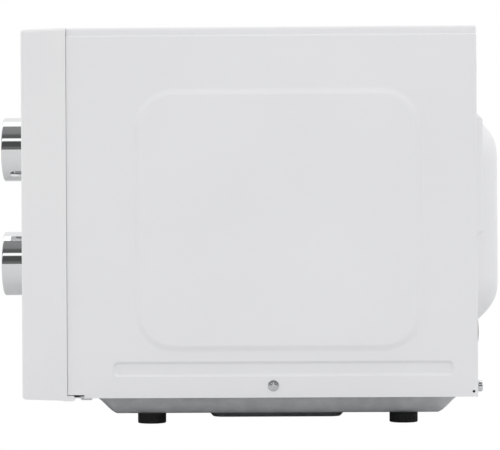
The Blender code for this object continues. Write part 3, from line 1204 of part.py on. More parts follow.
# --- the whole oven -----------------------------------------------------------------------
def build_oven():
    clear_scene()
    white_paint = paint('white_powder_coat', (0.72, 0.72, 0.74), 0.38)
    white_plastic = paint('white_abs', (0.75, 0.75, 0.76), 0.32)
    chrome = paint('chrome_plating', (0.86, 0.87, 0.88), 0.08, 1.0)
    zinc = paint('zinc_plated_steel', (0.34, 0.35, 0.36), 0.4, 0.9)
    enamel = paint('cavity_paint', (0.42, 0.43, 0.44), 0.45)
    glass = paint('tinted_glass', (0.03, 0.03, 0.035), 0.05)
    clear_glass = paint('clear_glass', (0.6, 0.66, 0.66), 0.05)
    black_plastic = paint('black_polypropylene', (0.012, 0.012, 0.013), 0.5)
    grey_plastic = paint('grey_nylon', (0.2, 0.2, 0.21), 0.5)
    copper = paint('enamelled_copper', (0.5, 0.16, 0.06), 0.35, 0.8)
    mica = paint('mica_sheet', (0.42, 0.36, 0.26), 0.6)
    lamination = paint('varnished_laminations', (0.05, 0.05, 0.055), 0.5, 0.3)
    aluminium = paint('aluminium', (0.6, 0.61, 0.62), 0.3, 1.0)
    board_green = paint('circuit_board', (0.02, 0.12, 0.05), 0.5)
    rubber = paint('black_rubber', (0.01, 0.01, 0.01), 0.8)

    home = empty('microwave_origin', None, (0, -Y_MIDDLE, 0))
    door_hinge = empty('door_hinge', home, (HINGE_X, HINGE_Y, 0))
    table = empty('turntable_axis', home, (CAVITY_X, TABLE_Y, 0))

    fixed = [('outer_cabinet', outer_cabinet(), white_paint),
             ('rear_panel', rear_panel(), white_paint),
             ('base_plate', base_plate(), zinc),
             ('front_plate', front_plate(), zinc),
             ('cavity_left_wall', cavity_left_wall(), enamel),
             ('cavity_right_wall', cavity_right_wall(), enamel),
             ('cavity_ceiling', cavity_ceiling(), enamel),
             ('cavity_floor', cavity_floor(), enamel),
             ('cavity_back_wall', cavity_back_wall(), enamel),
             ('control_panel', control_panel(), white_plastic),
             ('waveguide', waveguide(), zinc),
             ('waveguide_cover', waveguide_cover(), mica),
             ('magnetron_yoke', magnetron_yoke(), zinc),
             ('magnetron_anode', magnetron_anode(), aluminium),
             ('magnetron_filter_box', magnetron_filter_box(), zinc),
             ('transformer_core', transformer_core(), lamination),
             ('primary_winding', winding(CORE_LEFT + COIL_PLACES[0]), copper),
             ('secondary_winding', winding(CORE_LEFT + COIL_PLACES[1]), copper),
             ('capacitor', capacitor(), aluminium),
             ('capacitor_clamp', capacitor_clamp(), zinc),
             ('fan_motor', fan_motor(), lamination),
             ('fan_shroud', fan_shroud(), grey_plastic),
             ('cavity_lamp', cavity_lamp(), clear_glass),
             ('turntable_motor', turntable_motor(), zinc),
             ('timer', control_body(TIMER_SIZE, LOWER_KNOB_Z), grey_plastic),
             ('power_selector', control_body(SELECTOR_SIZE, UPPER_KNOB_Z), grey_plastic),
             ('latch_bracket', latch_bracket(), grey_plastic),
             ('interlock_switch_primary', interlock_switch(HOOKS[0][0] - BARB_DROP * 2),
              black_plastic),
             ('interlock_switch_monitor', interlock_switch(HOOKS[0][0] - BARB_DROP * 2
                                                           + SWITCH_SIZE[2] + FIT), black_plastic),
             ('interlock_switch_secondary', interlock_switch(HOOKS[1][0] - BARB_DROP * 2),
              black_plastic),
             ('filter_board', filter_board(), board_green),
             ('cord_gland', cord_gland(), black_plastic),
             ('hinge_lower', hinge(HINGE_LEGS[0], 1), zinc),
             ('hinge_upper', hinge(HINGE_LEGS[1], -1), zinc)]
    for name, place in foot_places().items():
        fixed.append((name, foot(*place), rubber))
    for word, side in (('left', -1), ('right', 1)):
        fixed.append((f'side_screw_{word}', screw(X, (SCREW_Y, SCREW_Z), side * (SIDE + GAP),
                                                  SIDE_SCREW_HEAD, side), zinc))
        fixed.append((f'rear_screw_{word}', screw(Y, (side * (WIDTH / 2 - REAR_SCREW_INSET),
                                                      REAR_SCREW_PLACE), DEPTH + GAP,
                                                  REAR_SCREW_HEAD, 1), zinc))
    for name, thing, finish in fixed:
        add_part(name, thing, finish, home)

    hinge_axis = (HINGE_X, HINGE_Y, 0)
    for name, thing, finish in [('door_frame', door_frame(), white_plastic),
                                ('door_glass', door_glass(), glass),
                                ('door_steel_panel', door_steel_panel(), enamel),
                                ('door_choke_cover', door_choke_cover(), grey_plastic)]:
        add_part(name, thing, finish, door_hinge, hinge_axis)
    add_part('latch_hooks', latch_hooks(), black_plastic, door_hinge,
             (HOOK_X, HOOK_PLATE[1], BARB_EDGE))

    dials = [('power', 'selector', UPPER_KNOB_Z, POWER_POINTER),
             ('timer', 'timer', LOWER_KNOB_Z, TIMER_POINTER)]
    for knob_word, shaft_word, z, pointer in dials:
        add_part(f'{knob_word}_knob', knob(z, pointer), chrome, home, (KNOB_X, 0, z))
        add_part(f'{shaft_word}_shaft', dial_shaft(z), zinc, home, (KNOB_X, 0, z))
    add_part('door_button', door_button(), white_plastic, home)
    add_part('release_lever', release_lever(), black_plastic, home,
             (BRACKET_X, LEVER_Y, LEVER_Z))
    add_part('fan_blade', fan_blade(), black_plastic, home, (FAN_X, FAN_MOTOR_Y, FAN_PLACE))

    table_axis = (CAVITY_X, TABLE_Y, 0)
    add_part('drive_coupler', drive_coupler(), grey_plastic, table, table_axis)
    add_part('roller_ring', roller_ring(), grey_plastic, table, table_axis)
    add_part('glass_turntable', glass_turntable(), clear_glass, table, table_axis)
    for number, turn in enumerate(WHEEL_TURNS, 1):
        hub = Matrix.Rotation(turn, 3, 'Z') @ Vector((TRACK_RADIUS, 0, 0))
        add_part(f'roller_wheel_{number}', roller_wheel(turn), grey_plastic, table,
                 (CAVITY_X + hub.x, TABLE_Y + hub.y, WHEEL_Z))


build_oven()
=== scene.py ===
import json
import math

import bmesh
import bpy
from mathutils import Matrix, Vector

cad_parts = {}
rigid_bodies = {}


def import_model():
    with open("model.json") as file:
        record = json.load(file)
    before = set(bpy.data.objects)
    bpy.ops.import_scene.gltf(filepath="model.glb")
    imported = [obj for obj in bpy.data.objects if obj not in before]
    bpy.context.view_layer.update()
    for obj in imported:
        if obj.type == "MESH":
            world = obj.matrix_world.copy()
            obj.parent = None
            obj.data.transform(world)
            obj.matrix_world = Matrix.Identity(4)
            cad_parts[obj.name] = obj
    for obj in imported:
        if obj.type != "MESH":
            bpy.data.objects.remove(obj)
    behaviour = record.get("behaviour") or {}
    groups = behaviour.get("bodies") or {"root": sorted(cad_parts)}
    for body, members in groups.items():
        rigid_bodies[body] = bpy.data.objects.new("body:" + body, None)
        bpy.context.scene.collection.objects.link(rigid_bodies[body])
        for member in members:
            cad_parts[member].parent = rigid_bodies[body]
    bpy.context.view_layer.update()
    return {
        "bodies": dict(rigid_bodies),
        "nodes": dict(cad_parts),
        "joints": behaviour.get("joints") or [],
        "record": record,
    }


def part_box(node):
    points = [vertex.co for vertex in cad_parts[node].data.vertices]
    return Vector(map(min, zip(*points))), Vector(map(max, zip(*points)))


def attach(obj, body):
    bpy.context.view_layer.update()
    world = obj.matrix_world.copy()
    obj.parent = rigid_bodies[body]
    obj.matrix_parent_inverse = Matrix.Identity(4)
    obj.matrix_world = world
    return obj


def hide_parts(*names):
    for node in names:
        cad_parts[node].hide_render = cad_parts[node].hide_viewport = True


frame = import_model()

scene = bpy.context.scene
cadNodes = frame["nodes"]
print("frame loaded,", len(cadNodes), "nodes")


# modelling helpers
mergeWithin = 0.00002
# the round end of a slot or tab, as a share of its height: just short of a half circle
roundEnd = 0.48


def letGo():
    if bpy.context.object and bpy.context.object.mode != "OBJECT":
        bpy.ops.object.mode_set(mode="OBJECT")
    bpy.ops.object.select_all(action="DESELECT")


def only(piece):
    letGo()
    piece.select_set(True)
    bpy.context.view_layer.objects.active = piece


def choose(piece, kind, test):
    # goes into edit mode with the vertices, edges or faces selected that pass the test
    only(piece)
    bpy.ops.object.mode_set(mode="EDIT")
    bpy.ops.mesh.select_mode(type=kind)
    bpy.ops.mesh.select_all(action="DESELECT")
    shape = bmesh.from_edit_mesh(piece.data)
    items = {"VERT": shape.verts, "EDGE": shape.edges, "FACE": shape.faces}[kind]
    for item in items:
        item.select_set(bool(test(item)))
    shape.select_flush_mode()
    bmesh.update_edit_mesh(piece.data)


def done():
    bpy.ops.object.mode_set(mode="OBJECT")


def settle(piece, name):
    # puts the object's place, turn and scale into its mesh
    only(piece)
    bpy.ops.object.transform_apply(location=True, rotation=True, scale=True)
    piece.name = name
    piece.data.name = name
    return piece


def near(value, place, within=0.00005):
    return abs(value - place) < within


def onPlane(axis, place):
    # test for an edge or face that lies in a plane across an axis
    return lambda item: all(near(vert.co[axis], place) for vert in item.verts)


def runsAlong(axis):
    def test(edge):
        run = edge.verts[1].co - edge.verts[0].co
        return near(abs(run[axis]), run.length)
    return test


def addBox(name, low, high):
    low, high = Vector(low), Vector(high)
    letGo()
    bpy.ops.mesh.primitive_cube_add(size=1, location=(low + high) / 2)
    bpy.context.object.scale = high - low
    return settle(bpy.context.object, name)


# turns, in degrees, that make a plane face along each axis
facings = {"X": (90, 0, 90), "Y": (90, 0, 180), "-Y": (90, 0, 0), "-Z": (180, 0, 0), "Z": (0, 0, 0)}


def addPlate(name, facing, low, high, corner, segments=10):
    # flat rounded rectangle that faces along an axis
    low, high = Vector(low), Vector(high)
    size = high - low
    across = {"X": (size.y, size.z), "Y": (size.x, size.z), "Z": (size.x, size.y)}[facing[-1]]
    letGo()
    turn = [math.radians(angle) for angle in facings[facing]]
    bpy.ops.mesh.primitive_plane_add(size=1, location=(low + high) / 2, rotation=turn)
    bpy.context.object.scale = (*across, 1)
    piece = settle(bpy.context.object, name)
    if corner:
        choose(piece, "VERT", lambda vert: True)
        bpy.ops.mesh.bevel(offset=corner, segments=segments, affect="VERTICES")
        done()
    return piece


def sCurve(share):
    return (1 - math.cos(math.pi * share)) / 2


def softWall(share):
    # a straight wall with rounded ends
    return 0.55 * share + 0.45 * sCurve(share)


def domed(share):
    # steep at first, then rounding over to a flat top
    return math.sin(math.pi / 2 * share) ** 0.92


def press(piece, width, depth, steps, profile=sCurve):
    # draws the plate's face up its normal in small insets, along a smooth profile
    choose(piece, "FACE", lambda face: len(face.verts) > 4)
    for step in range(steps):
        lift = profile((step + 1) / steps) - profile(step / steps)
        bpy.ops.mesh.inset(thickness=width / steps, depth=depth * lift)
    done()
    return piece


def merged(name, pieces):
    only(pieces[0])
    for piece in pieces:
        piece.select_set(True)
    bpy.ops.object.join()
    pieces[0].name = name
    pieces[0].data.name = name
    return pieces[0]


def fillBetween(piece, facing):
    # fills the flat sheet between the outlines, and turns it to face outwards
    only(piece)
    bpy.ops.object.mode_set(mode="EDIT")
    bpy.ops.mesh.select_mode(type="EDGE")
    bpy.ops.mesh.select_all(action="DESELECT")
    bpy.ops.mesh.select_non_manifold()
    bpy.ops.mesh.fill(use_beauty=True)
    bpy.ops.mesh.select_all(action="SELECT")
    bpy.ops.mesh.normals_make_consistent(inside=False)
    done()
    axis = "XYZ".index(facing[-1])
    side = -1 if facing[0] == "-" else 1
    if side * sum(face.normal[axis] * face.area for face in piece.data.polygons) < 0:
        choose(piece, "FACE", lambda face: True)
        bpy.ops.mesh.flip_normals()
        done()
    return piece


def emptied(piece, test):
    # removes faces and keeps their edges
    choose(piece, "FACE", test)
    bpy.ops.mesh.delete(type="ONLY_FACE")
    done()
    return piece


def modify(piece, kind, **settings):
    only(piece)
    change = piece.modifiers.new(kind.lower(), kind)
    for name, value in settings.items():
        setattr(change, name, value)
    bpy.ops.object.modifier_apply(modifier=change.name)
    return piece


def carve(piece, *cutters, operation="DIFFERENCE"):
    for cutter in cutters:
        modify(piece, "BOOLEAN", operation=operation, object=cutter)
        bpy.data.objects.remove(cutter)
    return piece


def roundEdges(piece, radius, segments, test):
    choose(piece, "EDGE", test)
    bpy.ops.mesh.bevel(offset=radius, segments=segments, affect="EDGES", clamp_overlap=True)
    done()
    return piece


def addRod(name, axis, middle, radius, start, end, sides=48):
    # cylinder along an axis; middle is its place across the axis
    place = list(middle)
    place.insert(axis, (start + end) / 2)
    turn = {0: (0, math.pi / 2, 0), 1: (math.pi / 2, 0, 0), 2: (0, 0, 0)}[axis]
    letGo()
    bpy.ops.mesh.primitive_cylinder_add(vertices=sides, radius=radius, depth=abs(end - start),
                                        location=place, rotation=turn)
    return settle(bpy.context.object, name)


def addTurned(name, axis, middle, profile, sides=64):
    # profile: (radius, place along the axis) points, spun round the axis
    place = list(middle)
    place.insert(axis, 0)
    place = Vector(place)
    outward = Vector((0, 0, 1)) if axis != 2 else Vector((1, 0, 0))
    run = Vector([1 if i == axis else 0 for i in range(3)])
    letGo()
    bpy.ops.mesh.primitive_plane_add(size=1)
    piece = settle(bpy.context.object, name)
    bpy.ops.object.mode_set(mode="EDIT")
    bpy.ops.mesh.select_mode(type="VERT")
    bpy.ops.mesh.select_all(action="SELECT")
    bpy.ops.mesh.merge(type="CENTER")
    shape = bmesh.from_edit_mesh(piece.data)
    shape.verts.ensure_lookup_table()
    shape.verts[0].co = place + outward * profile[0][0] + run * profile[0][1]
    bmesh.update_edit_mesh(piece.data)
    for before, after in zip(profile, profile[1:]):
        step = outward * (after[0] - before[0]) + run * (after[1] - before[1])
        bpy.ops.mesh.extrude_vertices_move(TRANSFORM_OT_translate={"value": step})
    bpy.ops.mesh.select_all(action="SELECT")
    bpy.ops.mesh.spin(steps=sides, angle=math.tau, center=place, axis=run, use_auto_merge=False)
    bpy.ops.mesh.select_all(action="SELECT")
    bpy.ops.mesh.remove_doubles(threshold=mergeWithin)
    bpy.ops.mesh.normals_make_consistent(inside=False)
    done()
    return piece


def smooth(piece, angle, weighted=True):
    only(piece)
    bpy.ops.object.shade_smooth_by_angle(angle=math.radians(angle))
    if weighted:
        modify(piece, "WEIGHTED_NORMAL", keep_sharp=True, weight=80)
    return piece


def finished(piece, finish, body, slot, *nodes):
    # gives a piece its finish and its body, and hides the nodes that it stands for
    piece.data.materials.clear()
    for one in finish if isinstance(finish, list) else [finish]:
        piece.data.materials.append(one)
    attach(piece, body)
    if nodes:
        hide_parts(*nodes)
    return piece


# materials
def linear(hexColour):
    channels = [int(hexColour[i:i + 2], 16) / 255 for i in (0, 2, 4)]
    return [c / 12.92 if c <= 0.04045 else ((c + 0.055) / 1.055) ** 2.4 for c in channels] + [1]


def addNode(tree, kind, inputs=None, **settings):
    new = tree.nodes.new(kind)
    for name, value in settings.items():
        setattr(new, name, value)
    for socket, value in (inputs or {}).items():
        if isinstance(value, bpy.types.NodeSocket):
            tree.links.new(value, new.inputs[socket])
        else:
            new.inputs[socket].default_value = value
    return new


def newFinish(name, **values):
    finish = bpy.data.materials.new(name)
    finish.use_nodes = True
    shader = finish.node_tree.nodes["Principled BSDF"]
    for socket, value in values.items():
        shader.inputs[socket.replace("_", " ")].default_value = value
    return finish, finish.node_tree, shader


def addGrain(tree, shader, size, depth, detail=2.0, stretch=(1, 1, 1)):
    # bump from a noise whose lumps are about size metres across and depth metres deep
    place = addNode(tree, "ShaderNodeTexCoord").outputs["Object"]
    spread = addNode(tree, "ShaderNodeMapping", {0: place, "Scale": stretch}).outputs[0]
    noise = addNode(tree, "ShaderNodeTexNoise", {"Vector": spread, "Scale": 0.5 / size,
                                                "Detail": detail})
    bump = addNode(tree, "ShaderNodeBump", {"Height": noise.outputs["Fac"], "Distance": depth,
                                           "Strength": 1.0})
    tree.links.new(bump.outputs[0], shader.inputs["Normal"])
    return spread


def addShades(tree, shader, spread, size, dark, light, socket="Base Color"):
    # soft clouds between two colours or two values
    noise = addNode(tree, "ShaderNodeTexNoise", {"Vector": spread, "Scale": 0.5 / size,
                                                "Detail": 3.0})
    share = addNode(tree, "ShaderNodeMapRange", {"Value": noise.outputs["Fac"],
                                                "From Min": 0.35, "From Max": 0.65}).outputs[0]
    if socket == "Base Color":
        mixed = addNode(tree, "ShaderNodeMix", {0: share, 6: linear(dark), 7: linear(light)},
                        data_type="RGBA").outputs[2]
    else:
        mixed = addNode(tree, "ShaderNodeMapRange", {"Value": share, "To Min": dark,
                                                    "To Max": light}).outputs[0]
    tree.links.new(mixed, shader.inputs[socket])


def clouded(name, dark, light, clouds, grain, **values):
    # a finish in soft clouds of two colours; grain is what addGrain takes
    finish, tree, shader = newFinish(name, **values)
    addShades(tree, shader, addGrain(tree, shader, *grain), clouds, dark, light)
    return finish


def powderCoatedSteel():
    # baked powder on sheet steel: satin, with the faint orange peel of melted powder
    return clouded("powderCoatedSteel", "EAEAEC", "ECECEE", 0.05, (0.0016, 0.000012),
                   Roughness=0.36, IOR=1.5)


def mouldedAbs():
    # injection-moulded ABS: smooth satin with the fine spark texture of its mould
    return clouded("mouldedAbs", "EAEAEC", "ECECED", 0.03, (0.0005, 0.000006),
                   Roughness=0.32, IOR=1.53)


def chromePlatedPlastic():
    # bright chromium over moulded plastic: mirror-like, a trace of polishing haze
    finish, tree, shader = newFinish("chromePlatedPlastic", Metallic=1.0, Roughness=0.05,
                                     Base_Color=linear("E6E7E8"))
    spread = addGrain(tree, shader, 0.004, 0.000002)
    addShades(tree, shader, spread, 0.006, 0.035, 0.08, "Roughness")
    return finish


def galvanisedSheet(name="galvanisedSheet", dark="83868A", light="94979A", rough=(0.34, 0.5),
                    metal=1.0):
    # zinc-coated sheet: grey metal with soft spangles and rolling streaks
    finish, tree, shader = newFinish(name, Metallic=metal)
    spread = addGrain(tree, shader, 0.0012, 0.00001, stretch=(0.3, 1.6, 1.6))
    addShades(tree, shader, spread, 0.008, dark, light)
    addShades(tree, shader, spread, 0.003, rough[0], rough[1], "Roughness")
    return finish


def zincPlatedScrew():
    # bright zinc on a screw: pale metal with small handling marks
    return galvanisedSheet("zincPlatedScrew", "CDD0D3", "DEE0E3", (0.16, 0.26))


def cavityPaint():
    # grey heat-proof paint with the fine specks of a fired coating
    return clouded("cavityPaint", "A2A5A6", "B4B6B6", 0.0006, (0.0009, 0.00002),
                   Roughness=0.42, IOR=1.5)


def paintedScreen():
    # perforated steel under dark heat-proof paint, so that the eye looks through it
    return plainPlastic("paintedScreen", "2B2C2D", "343536", 0.5, 0.001, 0.00001)


def printedInk():
    # pad-printed ink: flat grey film with a trace of the pad's grain
    return plainPlastic("printedInk", "4A4C50", "55575B", 0.5, 0.0006, 0.000004)


def printedBlackGlass():
    # float glass with black enamel baked on its back: deep gloss
    return clouded("printedBlackGlass", "08090A", "0B0C0D", 0.02, (0.02, 0.000004, 0.0),
                   Roughness=0.04, IOR=1.52)


def tintedGlass():
    # the clear middle of the door glass: a grey tint over the screen
    finish, tree, shader = newFinish("tintedGlass", Roughness=0.02, IOR=1.5, Alpha=0.30,
                                     Base_Color=linear("0C0D0E"))
    addGrain(tree, shader, 0.02, 0.000003, 0.0)
    return finish


def temperedGlass():
    # thick clear turntable glass with a faint green cast
    finish, tree, shader = newFinish("temperedGlass", Roughness=0.03, IOR=1.5,
                                     Transmission_Weight=1.0, Base_Color=linear("E4F0EC"))
    addGrain(tree, shader, 0.012, 0.00002, 0.0)
    return finish


def lampGlass():
    # frosted lamp envelope, lit from inside when the oven runs
    finish, tree, shader = newFinish("lampGlass", Roughness=0.35, IOR=1.5,
                                     Transmission_Weight=0.6, Base_Color=linear("F2EEDF"))
    addGrain(tree, shader, 0.002, 0.00001)
    return finish


def plainPlastic(name, dark, light, roughness, size=0.0004, depth=0.00001):
    # moulded plastic with a fine matt grain
    return clouded(name, dark, light, 0.01, (size, depth), Roughness=roughness, IOR=1.5)


def blackRubber():
    # moulded rubber: matt black, slightly dusty
    return plainPlastic("blackRubber", "101011", "1A1A1B", 0.72, 0.0007, 0.00002)


def ribbed(name, dark, light, clouds, way, scale, wavy, height, **values):
    # a finish with fine raised lines that repeat along an axis
    finish, tree, shader = newFinish(name, **values)
    place = addNode(tree, "ShaderNodeTexCoord").outputs["Object"]
    lines = addNode(tree, "ShaderNodeTexWave", {"Vector": place, "Scale": scale,
                                               "Distortion": wavy}, bands_direction=way)
    bump = addNode(tree, "ShaderNodeBump", {"Height": lines.outputs["Fac"], "Distance": height})
    tree.links.new(bump.outputs[0], shader.inputs["Normal"])
    addShades(tree, shader, place, clouds, dark, light)
    return finish


def enamelledCopper():
    # varnished wire: a ribbed amber-brown sheen, at 1.2 mm a little coarser than real wire
    return ribbed("enamelledCopper", "7E3A1C", "A4542B", 0.006, "X", 260, 0.4, 0.0003,
                  Metallic=0.85, Roughness=0.32)


def micaSheet():
    # pressed mica: pale brown flakes under a dull gloss
    return clouded("micaSheet", "A79B80", "C4B898", 0.004, (0.003, 0.00003),
                   Roughness=0.42, IOR=1.58)


def steelLaminations():
    # stacked steel under black-brown varnish; sheets 1 mm thick, twice the real ones
    return ribbed("steelLaminations", "2B2824", "3E3A34", 0.01, "Y", 310, 0.0, 0.0002,
                  Metallic=0.6, Roughness=0.42)


def bareAluminium():
    # soft pressed aluminium: pale metal with short scuffs
    return galvanisedSheet("bareAluminium", "C0C3C6", "D2D4D6", (0.25, 0.42))


def circuitBoard():
    # green solder resist over glass cloth
    return clouded("circuitBoard", "14432A", "1E5A38", 0.003, (0.0008, 0.00002),
                   Roughness=0.4, IOR=1.5)


finishes = {
    "powder": powderCoatedSteel(), "abs": mouldedAbs(), "chrome": chromePlatedPlastic(),
    "zinc": galvanisedSheet(), "screw": zincPlatedScrew(), "cavity": cavityPaint(),
    "blackGlass": printedBlackGlass(), "tinted": tintedGlass(), "tempered": temperedGlass(),
    "lamp": lampGlass(), "rubber": blackRubber(), "copper": enamelledCopper(),
    "mica": micaSheet(), "laminations": steelLaminations(), "aluminium": bareAluminium(),
    "screen": paintedScreen(), "ink": printedInk(), "board": circuitBoard(),
    "pan": galvanisedSheet("passivatedSheet", "D6D8DA", "E2E4E6", (0.34, 0.46), 0.64),
    # a darker copy of the pan's zinc for the boss's faces: painted shade for the shadow under the
    # oven, not a different metal
    "boss": galvanisedSheet("paintedShadeSheet", "A8AAAE", "B4B6BA", (0.4, 0.5), 0.7),
    "greyNylon": plainPlastic("greyNylon", "6E7072", "7A7C7E", 0.48),
    "whiteNylon": plainPlastic("whiteNylon", "D6D5CF", "E0DFD9", 0.42),
    "blackPlastic": plainPlastic("blackPolypropylene", "17181A", "202123", 0.5),
}
print("materials made,", len(finishes))

nodeFinishes = {
    "powder": ["outer_cabinet", "rear_panel"],
    "abs": ["control_panel", "door_frame", "door_button"],
    "chrome": ["power_knob", "timer_knob"],
    "zinc": ["base_plate", "front_plate", "waveguide", "magnetron_yoke", "magnetron_filter_box",
             "capacitor_clamp", "turntable_motor", "hinge_lower", "hinge_upper"],
    "screw": ["side_screw_left", "side_screw_right", "rear_screw_left", "rear_screw_right",
              "timer_shaft", "selector_shaft"],
    "cavity": ["cavity_left_wall", "cavity_right_wall", "cavity_ceiling", "cavity_floor",
               "cavity_back_wall", "door_steel_panel"],
    "blackGlass": ["door_glass"], "tempered": ["glass_turntable"], "lamp": ["cavity_lamp"],
    "rubber": ["foot_front_left", "foot_front_right", "foot_rear_left", "foot_rear_right"],
    "copper": ["primary_winding", "secondary_winding"], "mica": ["waveguide_cover"],
    "laminations": ["transformer_core", "fan_motor"],
    "aluminium": ["magnetron_anode", "capacitor"], "board": ["filter_board"],
    "greyNylon": ["door_choke_cover", "timer", "power_selector", "latch_bracket",
                  "fan_shroud"],
    "whiteNylon": ["drive_coupler", "roller_ring", "roller_wheel_1", "roller_wheel_2",
                   "roller_wheel_3"],
    "blackPlastic": ["latch_hooks", "release_lever", "fan_blade", "cord_gland",
                     "interlock_switch_primary", "interlock_switch_monitor",
                     "interlock_switch_secondary"],
}
for key, names in nodeFinishes.items():
    for name in names:
        cadNodes[name].data.materials.clear()
        cadNodes[name].data.materials.append(finishes[key])
print("CAD nodes painted")

# the cabinet's own edges, from the frame
cabinetLow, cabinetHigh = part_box("outer_cabinet")
sheetThickness = 0.0008
cutReach = 0.01  # how far cutters stand past what they cut
cabinet = {
    "fieldRise": 0.0014, "fieldCorner": 0.026, "fieldSlope": 0.0052, "fieldSteps": 10,
    "fieldFront": 0.0432, "fieldRear": 0.0349, "fieldBottom": 0.0292, "fieldTop": 0.0395,
    "channelFront": 0.0287, "channelRear": 0.015, "channelRaise": 0.0134,
    "channelHeight": 0.0103, "channelSlope": 0.0022, "channelDepth": 0.0014,
    "channelCorner": 0.0042, "topBend": 0.0021, "bendSteps": 8, "rearFlange": 0.012,
    "shoulderBelowTop": 0.0061, "shoulder": (0.0015, 0.0009),
    "rearBend": 0.0012, "notch": (0.0107, 0.0021), "screwPlace": (0.1328, 0.0076),
    "screwHole": 0.0023, "hookHole": (0.0028, 0.0034), "hookRadius": 0.0009,
}
sideFlat = cabinetHigh.x - cabinet["fieldRise"]


def makeCabinet():
    # half of the wrapper: pressed side, rolled top bend and top, then mirrored
    front, rear = cabinetLow.y, cabinetHigh.y
    bottom, top = cabinetLow.z, cabinetHigh.z
    shoulder = top - cabinet["shoulderBelowTop"]
    side = addPlate("outerCabinet", "X", (sideFlat, front, bottom), (sideFlat, rear, shoulder), 0)
    emptied(side, lambda face: True)
    field = addPlate("field", "X",
                     (sideFlat, front + cabinet["fieldFront"], bottom + cabinet["fieldBottom"]),
                     (sideFlat, rear - cabinet["fieldRear"], top - cabinet["fieldTop"]),
                     cabinet["fieldCorner"], 14)
    press(field, cabinet["fieldSlope"], cabinet["fieldRise"], cabinet["fieldSteps"])
    channelLow = bottom + cabinet["channelRaise"]
    channel = addPlate("channel", "X", (sideFlat, front + cabinet["channelFront"], channelLow),
                       (sideFlat, rear - cabinet["channelRear"],
                        channelLow + cabinet["channelHeight"]), cabinet["channelCorner"], 8)
    press(channel, cabinet["channelSlope"], -cabinet["channelDepth"], 6)
    merged("outerCabinet", [side, field, channel])
    fillBetween(side, "X")
    choose(side, "EDGE", onPlane(2, shoulder))
    inward, upward = cabinet["shoulder"]
    bpy.ops.mesh.extrude_edges_move(TRANSFORM_OT_translate={"value": (-inward, 0, upward)})
    bend = cabinet["topBend"]
    rise = cabinet["shoulderBelowTop"] - upward - bend
    bpy.ops.mesh.extrude_edges_move(TRANSFORM_OT_translate={"value": (0, 0, rise)})
    bpy.ops.mesh.spin(steps=cabinet["bendSteps"], angle=math.pi / 2, axis=(0, 1, 0),
                      center=(sideFlat - inward - bend, 0, top - bend))
    reach = inward + bend - sideFlat
    bpy.ops.mesh.extrude_edges_move(TRANSFORM_OT_translate={"value": (reach, 0, 0)})
    done()
    modify(side, "MIRROR", use_axis=(True, False, False), use_mirror_merge=True,
           merge_threshold=mergeWithin)
    choose(side, "EDGE", lambda edge: edge.is_boundary and onPlane(1, rear)(edge))
    shrink = (1 - cabinet["rearFlange"] / sideFlat, 1,
              1 - cabinet["rearFlange"] / (top - bottom))
    bpy.ops.mesh.extrude_edges_move()
    bpy.ops.transform.resize(value=shrink, center_override=(0, rear, bottom))
    bpy.ops.mesh.select_all(action="SELECT")
    bpy.ops.mesh.remove_doubles(threshold=mergeWithin)
    bpy.ops.mesh.normals_make_consistent(inside=False)
    done()

    def rearCorner(edge):
        sharp = edge.calc_face_angle(0) > 1
        return sharp and not edge.is_boundary and onPlane(1, rear)(edge)

    roundEdges(side, cabinet["rearBend"], 4, rearCorner)
    facesOut = sum(face.normal.z * face.area for face in side.data.polygons
                   if near(face.center.z, top))
    if facesOut < 0:
        choose(side, "FACE", lambda face: True)
        bpy.ops.mesh.flip_normals()
        done()
    modify(side, "SOLIDIFY", thickness=sheetThickness, offset=-1, use_even_offset=True)
    notchLength, notchHeight = cabinet["notch"]
    carve(side, addBox("notch", (-sideFlat - cutReach, front - cutReach, bottom - cutReach),
                       (sideFlat + cutReach, front + notchLength, bottom + notchHeight)))
    screwY, screwZ = cabinet["screwPlace"]
    carve(side, addRod("screwHole", 0, (front + screwY, bottom + screwZ), cabinet["screwHole"],
                       -sideFlat - cutReach, sideFlat + cutReach))
    hookY, hookZ = cabinet["hookHole"]
    carve(side, addRod("hookHole", 0, (rear - hookY, bottom + hookZ), cabinet["hookRadius"],
                       -sideFlat - cutReach, sideFlat + cutReach, 16))
    smooth(side, 30)
    return finished(side, finishes["powder"], "chassis", "white_powder_coat", "outer_cabinet")


makeCabinet()
print("cabinet done")

rearSheet = {
    "domeMargin": (0.042, 0.0167), "domeDrop": 0.0072, "domeCorner": 0.045,
    "drawIn": 0.036, "domeSteps": 18, "setIn": 0.0011,
    "ventInset": 0.022, "ventSize": (0.090, 0.088), "ventRise": 0.0062, "ventCorner": 0.008,
    "ventRows": 8, "slotPitch": 0.0088, "slotSize": (0.034, 0.0032), "fanBelowTop": 0.0962,
    "exhaustSize": (0.096, 0.021), "exhaustRise": 0.0018, "exhaustBelowTop": 0.0267,
    "exhaustApart": 0.0192, "glandPlace": (0.025, 0.060), "glandHole": 0.0073,
}


# how far slots cut either way: past the vents behind, but only through the pan below
slotReach = {"Y": 0.02, "Z": 0.003}


def slotCutters(places, facing, size):
    # rounded slots as one cutter; places are middles, size is length and height
    cutters = []
    for place in places:
        half = Vector((size[0] / 2, 0, size[1] / 2))
        if facing == "Z":
            half = Vector((size[0] / 2, size[1] / 2, 0))
        slot = addPlate("slot", facing, Vector(place) - half, Vector(place) + half,
                        size[1] * roundEnd, 5)
        modify(slot, "SOLIDIFY", thickness=2 * slotReach[facing], offset=0)
        cutters.append(slot)
    return merged("slots", cutters)


